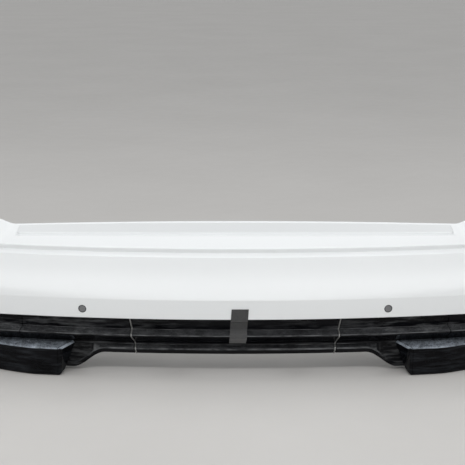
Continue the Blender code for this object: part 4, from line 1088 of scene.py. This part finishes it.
# ---------------------------------------------------------------- finishes
class Nodes:
    """Adds shader nodes to one tree; inputs are numbers or the outputs of other nodes."""

    def __init__(self, tree, coords):
        self.tree = tree
        self.coords = self.node("TexCoord", coords)

    def put(self, socket, value):
        if isinstance(value, bpy.types.NodeSocket):
            self.tree.links.new(value, socket)
        else:
            socket.default_value = value

    def node(self, kind, output, inputs=None, **settings):
        made = self.tree.nodes.new("ShaderNode" + kind)
        for key, value in settings.items():
            setattr(made, key, value)
        for key, value in (inputs or {}).items():
            self.put(made.inputs[key], value)
        return made.outputs[output]

    def ramp(self, value, stops):
        output = self.node("ValToRGB", "Color", {"Fac": value})
        elements = output.node.color_ramp.elements
        while len(elements) < len(stops):
            elements.new(0.5)
        for element, (position, colour) in zip(elements, stops):
            element.position = position
            element.color = (colour,) * 3 + (1.0,) if isinstance(colour, float) else (*colour, 1.0)
        return output

    def math(self, operation, a, b):
        return self.node("Math", 0, {0: a, 1: b}, operation=operation)

    def mix(self, factor, a, b):
        return self.node("Mix", 2, {0: factor, 6: a, 7: b}, data_type="RGBA")

    def stretched(self, scale):
        return self.node("Mapping", "Vector", {"Vector": self.coords, "Scale": scale})

    def noise(self, scale, detail=3.0, roughness=0.5, coords=None):
        return self.node("TexNoise", "Fac", {"Scale": scale, "Detail": detail, "Roughness": roughness,
                                             "Vector": coords or self.coords})

    def cells(self, scale, output="Distance", coords=None):
        return self.node("TexVoronoi", output, {"Scale": scale, "Vector": coords or self.coords})

    def mottle(self, low, high, *noise, start=0.3, end=0.7):
        """From low to high as a noise goes from start to end."""
        return self.ramp(self.noise(*noise), [(start, low), (end, high)])

    def facing_up(self, low, high):
        """0 to 1 as the surface turns from low to high on the normal's height."""
        height = self.node("SeparateXYZ", "Z", {0: self.node("NewGeometry", "Normal")})
        return self.node("MapRange", "Result", {"Value": height, "From Min": low, "From Max": high},
                         interpolation_type="SMOOTHSTEP")

    def outward(self):
        """Rises from the middle of the piece to its ends, which spreads the painted sheen of the gloss black.
        """
        across = self.node("SeparateXYZ", "X", {0: self.coords})
        return self.ramp(self.math("ABSOLUTE", across, 0.0), [(0.12, 0.25), (0.42, 1.0)])


class Finish(Nodes):
    """One procedural material, built round its main shader."""

    def __init__(self, name, roughness, metallic=0.0, **fixed):
        self.surface = bpy.data.materials.new(name)
        self.surface.use_nodes = True
        super().__init__(self.surface.node_tree, "Object")
        self.sockets = self.tree.nodes["Principled BSDF"].inputs
        for key, value in {"Roughness": roughness, "Metallic": metallic, **fixed}.items():
            self.put(self.sockets[key.replace("_", " ")], value)
        self.last_bump = None

    def colour(self, value):
        self.put(self.sockets["Base Color"], value)

    def roughness(self, value):
        self.put(self.sockets["Roughness"], value)

    def bump(self, value, strength, distance, coat=False):
        inputs = {"Strength": strength, "Distance": distance, "Height": value}
        if self.last_bump:
            inputs["Normal"] = self.last_bump
        self.last_bump = self.node("Bump", "Normal", inputs)
        for name in ("Normal", "Coat Normal") if coat else ("Normal",):
            self.put(self.sockets[name], self.last_bump)


def white_paint():
    f = Finish("white_paint_fine", 0.30, Coat_Weight=1.0, Coat_Roughness=0.035)
    f.colour(f.mottle((0.775, 0.794, 0.800), (0.788, 0.807, 0.813), 2.2, 2.0))
    f.roughness(f.mottle(0.30, 0.34, 9.0, 3.0))
    f.bump(f.noise(330.0, 1.0), 0.04, 0.0003, coat=True)
    return f.surface


def gloss_black(name, dust_and_sheen, tint, low, even, wipe_and_sheen, spread):
    """Gloss black plastic. Dust lies on what faces up, in patches and specks, and also stands in as painted
    sheen there; a painted sheen with wipe streaks lightens the ends, and a painted highlight lightens facets
    that half face up.
    """
    f = Finish(name, 0.14, Specular_IOR_Level=0.09)
    base = f.mottle((0.0018, 0.0019, 0.0026), (0.0040, 0.0042, 0.0055), 14.0, 3.0, start=0.35)
    patches = f.ramp(f.noise(spread, 5.0, 0.65), [(0.34, even), (0.66, 1.0)])
    specks = f.mottle(even, 1.0, 420.0, 3.0, 0.75, start=0.40, end=0.62)
    # Dust on upward faces, which also stands in as painted sheen: the tops are lighter as a grazing
    # reflection would make them.
    cover = f.math("MULTIPLY", patches, specks)
    cover = f.math("MULTIPLY", cover, f.facing_up(low, low + 0.25))
    # Painted sheen with wipe streaks: lighter towards the piece's ends, as the reflection there would be, and
    # kept off downward faces so they stay dark as painted shade.
    wipe_streaks_and_sheen = f.ramp(f.noise(9.0, 5.0, 0.62, f.stretched((1.6, 1.0, 11.0))), [(0.46, 0.0), (0.70, wipe_and_sheen)])
    painted_sheen_and_wipes = f.math("MULTIPLY", wipe_streaks_and_sheen, f.outward())
    painted_sheen_and_wipes = f.math("MULTIPLY", painted_sheen_and_wipes, f.facing_up(-0.5, -0.25))
    # Painted highlight: facets that half face up, such as the lip bead and the ridge front, are lightened in
    # streaks as a reflected lamp would light them.
    edges = f.math("MULTIPLY", f.facing_up(0.30, 0.42), f.math("SUBTRACT", 1.0, f.facing_up(0.60, 0.75)))
    painted_highlight_streaks = f.ramp(f.noise(24.0, 4.0, 0.6, f.stretched((1.0, 1.0, 3.0))), [(0.36, 0.10), (0.66, 0.62)])
    painted_sheen_and_wipes = f.math("MAXIMUM", painted_sheen_and_wipes, f.math("MULTIPLY", edges, painted_highlight_streaks))
    dust_and_painted_light = f.math("ADD", f.math("MULTIPLY", cover, dust_and_sheen), painted_sheen_and_wipes)
    dust_and_sheen_colour = f.mottle(tint, tuple(1.25 * c for c in tint), 34.0, 2.0)
    f.colour(f.mix(dust_and_painted_light, base, dust_and_sheen_colour))
    smudge = f.mottle(0.07, 0.17, 40.0, 4.0, 0.6, start=0.35)
    rough = f.mottle(0.50, 0.70, 200.0, 2.0)
    f.roughness(f.mix(dust_and_painted_light, smudge, rough))
    f.bump(f.noise(260.0, 1.0), 0.04, 0.0004)
    return f.surface


def grained_plastic():
    f = Finish("black_plastic_grain", 0.55)
    f.colour(f.mottle((0.018, 0.018, 0.019), (0.034, 0.034, 0.035), 45.0, 4.0))
    f.roughness(f.mottle(0.46, 0.68, 300.0, 3.0))
    f.bump(f.cells(900.0), 0.25, 0.0002)
    f.bump(f.noise(60.0, 2.0), 0.08, 0.0006)
    return f.surface


def seal_rubber():
    f = Finish("seal_rubber", 0.75)
    f.colour(f.mottle((0.016, 0.016, 0.017), (0.030, 0.030, 0.031), 500.0, 3.0))
    f.roughness(f.mottle(0.62, 0.85, 220.0, 3.0))
    f.bump(f.noise(1400.0, 3.0), 0.2, 0.0001)
    return f.surface


def woven_strap():
    """Matt webbing: two crossed ribs and some fuzz."""
    f = Finish("strap_webbing", 0.85, Sheen_Weight=0.25, Sheen_Roughness=0.5)
    along = f.noise(300.0, 2.0, coords=f.stretched((3.2, 1.0, 0.5)))
    across = f.cells(620.0, coords=f.stretched((1.0, 0.7, 1.5)))
    weave = f.math("ADD", f.math("MULTIPLY", along, 0.5), f.math("MULTIPLY", across, 0.7))
    f.colour(f.ramp(weave, [(0.25, (0.026, 0.026, 0.027)), (0.75, (0.056, 0.056, 0.056))]))
    f.roughness(f.mottle(0.78, 0.95, 180.0, 3.0))
    f.bump(weave, 0.55, 0.0003)
    return f.surface


def sensor_paint():
    f = Finish("sensor_lacquer", 0.42, Coat_Weight=0.3, Coat_Roughness=0.2)
    f.colour(f.mottle((0.135, 0.137, 0.142), (0.175, 0.177, 0.182), 900.0, 3.0))
    f.roughness(f.mottle(0.36, 0.50, 120.0, 3.0))
    f.bump(f.noise(1500.0, 2.0), 0.08, 0.0001)
    return f.surface


def brushed_satin():
    f = Finish("satin_silver_brushed", 0.42, 0.70)
    streaks = f.noise(900.0, 4.0, 0.6, coords=f.stretched((2.0, 0.06, 0.06)))
    f.colour(f.ramp(streaks, [(0.3, (0.15, 0.15, 0.148)), (0.7, (0.27, 0.27, 0.262))]))
    f.roughness(f.ramp(streaks, [(0.3, 0.32), (0.7, 0.50)]))
    f.bump(streaks, 0.08, 0.0001)
    return f.surface


def red_lens():
    f = Finish("red_reflector_prisms", 0.12, Coat_Weight=0.8, Coat_Roughness=0.03)
    cells = f.cells(380.0)
    f.colour(f.ramp(cells, [(0.1, (0.42, 0.006, 0.008)), (0.6, (0.16, 0.002, 0.004))]))
    f.roughness(f.mottle(0.08, 0.2, 70.0, 3.0))
    f.bump(cells, 0.35, 0.0006)
    return f.surface


def dipped_steel():
    f = Finish("ecoat_steel", 0.42, 0.25)
    f.colour(f.mottle((0.020, 0.021, 0.022), (0.042, 0.043, 0.044), 18.0, 5.0, 0.6))
    f.roughness(f.mottle(0.32, 0.55, 90.0, 4.0))
    f.bump(f.noise(420.0, 2.0), 0.12, 0.0003)
    return f.surface


def galvanised():
    f = Finish("zinc_spangle", 0.38, 0.85)
    cells = f.cells(140.0, "Color")
    tone = f.ramp(cells, [(0.1, (0.36, 0.36, 0.35)), (0.9, (0.58, 0.58, 0.56))])
    stain = f.mottle(0.0, 0.4, 30.0, 5.0, 0.65, start=0.35, end=0.75)
    f.colour(f.mix(stain, tone, f.mottle((0.28, 0.275, 0.26), (0.40, 0.395, 0.38), 80.0)))
    f.roughness(f.mottle(0.28, 0.5, 160.0, 4.0))
    f.bump(f.noise(500.0, 3.0), 0.06, 0.0002)
    return f.surface


def bead_foam():
    f = Finish("bead_foam", 0.92)
    beads = f.cells(230.0)
    tone = f.cells(230.0, "Color")
    grey = f.ramp(tone, [(0.1, (0.25, 0.25, 0.26)), (0.9, (0.36, 0.36, 0.37))])
    seam = f.ramp(beads, [(0.45, 0.0), (0.8, 0.75)])
    f.colour(f.mix(seam, grey, f.mottle((0.12, 0.12, 0.125), (0.17, 0.17, 0.175), 40.0)))
    f.roughness(f.mottle(0.86, 0.98, 300.0, 2.0))
    f.bump(f.math("SUBTRACT", 1.0, beads), 0.5, 0.0012)
    return f.surface


def floor_finish():
    f = Finish("studio_floor", 0.6)
    f.colour(f.mottle((0.60, 0.585, 0.565), (0.63, 0.615, 0.595), 1.3, 3.0))
    f.roughness(f.mottle(0.52, 0.66, 12.0, 3.0))
    f.bump(f.noise(90.0, 3.0), 0.03, 0.001)
    return f.surface


# The wings' tops get a thick blue-grey dust layer, which also stands in as painted sheen of a grazing
# reflection.
WING_BLACK = gloss_black("gloss_black_dust_and_sheen", 1.0, (0.33, 0.37, 0.42), 0.45, 0.30, 0.04, 60.0)
STRAP = woven_strap()
SURFACES = {
    "white_paint": white_paint(),
    # Its dust and wipe streaks also carry painted sheen, and its facets a painted highlight.
    "gloss_black": gloss_black("gloss_black_fine", 0.30, (0.17, 0.175, 0.18), 0.55, 0.30, 0.36, 26.0),
    "black_plastic": grained_plastic(),
    "black_rubber": seal_rubber(),
    "sensor_grey": sensor_paint(),
    "satin_silver": brushed_satin(),
    "red_reflector": red_lens(),
    "coated_steel": dipped_steel(),
    "zinc_steel": galvanised(),
    "grey_foam": bead_foam(),
}

make_cover()
make_valances()
make_seam_tabs()
make_corners()
make_panel()
make_wings()
make_strap()
make_strips()
make_sensors()
make_clips()
make_bolts()
make_wing_screws()
make_inner_pieces()


# ---------------------------------------------------------------- floor, light and camera
def make_floor():
    mesh = bpy.data.meshes.new("floor")
    size = 40.0
    near = -5.2
    mesh.from_pydata([(-size, near, 0), (size, near, 0), (size, size, 0), (-size, size, 0)], [],
                     [(0, 1, 2, 3)])
    mesh.transform(Matrix.Translation((0.0, 0.0, -0.0004)))
    mesh.materials.append(floor_finish())
    floor = bpy.data.objects.new("floor", mesh)
    bpy.context.scene.collection.objects.link(floor)


# Radiance of the room by the sine of the elevation, and of the band in front.
ROOM = [(0.0, 0.46), (0.10, 0.42), (0.25, 0.28), (0.55, 0.30), (0.85, 0.85), (1.0, 0.95)]
BAND = [(0.0, 1.0), (0.035, 1.0), (0.10, 0.42), (0.17, 0.12), (0.25, 0.0)]
BAND_POWER = 2.6
BACKDROP = 0.62


def make_world():
    """A soft studio room: bright ceiling, pale walls and a low bright band in front of the object."""
    world = bpy.data.worlds.new("studio")
    bpy.context.scene.world = world
    world.use_nodes = True
    n = Nodes(world.node_tree, "Generated")
    height = n.node("SeparateXYZ", "Z", {0: n.coords})
    depth = n.node("SeparateXYZ", "Y", {0: n.coords})
    ahead = n.ramp(n.math("MULTIPLY", depth, -1.0), [(0.35, 0.0), (0.85, 1.0)])
    band = n.math("MULTIPLY", n.math("MULTIPLY", n.ramp(height, BAND), ahead), BAND_POWER)
    light = n.math("ADD", n.ramp(height, ROOM), band)
    seen = n.node("LightPath", "Is Camera Ray")
    hidden = n.math("SUBTRACT", 1.0, seen)
    strength = n.math("ADD", n.math("MULTIPLY", seen, BACKDROP), n.math("MULTIPLY", light, hidden))
    background = n.tree.nodes["Background"].inputs
    background["Color"].default_value = (0.99, 1.0, 1.01, 1.0)
    n.put(background["Strength"], strength)


def area_light(name, location, target, size, power):
    data = bpy.data.lights.new(name, "AREA")
    data.shape = "RECTANGLE"
    data.size, data.size_y = size
    data.energy = power
    lamp = bpy.data.objects.new(name, data)
    bpy.context.scene.collection.objects.link(lamp)
    lamp.location = location
    lamp.rotation_euler = (Vector(target) - Vector(location)).to_track_quat("-Z", "Y").to_euler()


def make_lights():
    area_light("ceiling", (0.0, -1.2, 3.4), (0.0, -0.2, 0.2), (5.0, 3.4), 27.0)
    area_light("front_strip", (0.0, -3.64, 3.81), (0.0, -0.33, 0.07), (5.5, 0.30), 67.0)
    area_light("back_fill", (0.0, 2.4, 4.2), (0.0, 0.0, 0.2), (4.0, 1.6), 11.0)


def make_camera():
    data = bpy.data.cameras.new("camera")
    data.lens = 88.32
    data.sensor_width = 36.0
    camera = bpy.data.objects.new("camera", data)
    bpy.context.scene.collection.objects.link(camera)
    camera.location = (-0.0069, -3.0144, 1.0188)
    camera.rotation_euler = (math.radians(76.436), 0.0, 0.0)
    bpy.context.scene.camera = camera


make_floor()
make_world()
make_lights()
make_camera()
bpy.context.scene.view_settings.view_transform = "Standard"
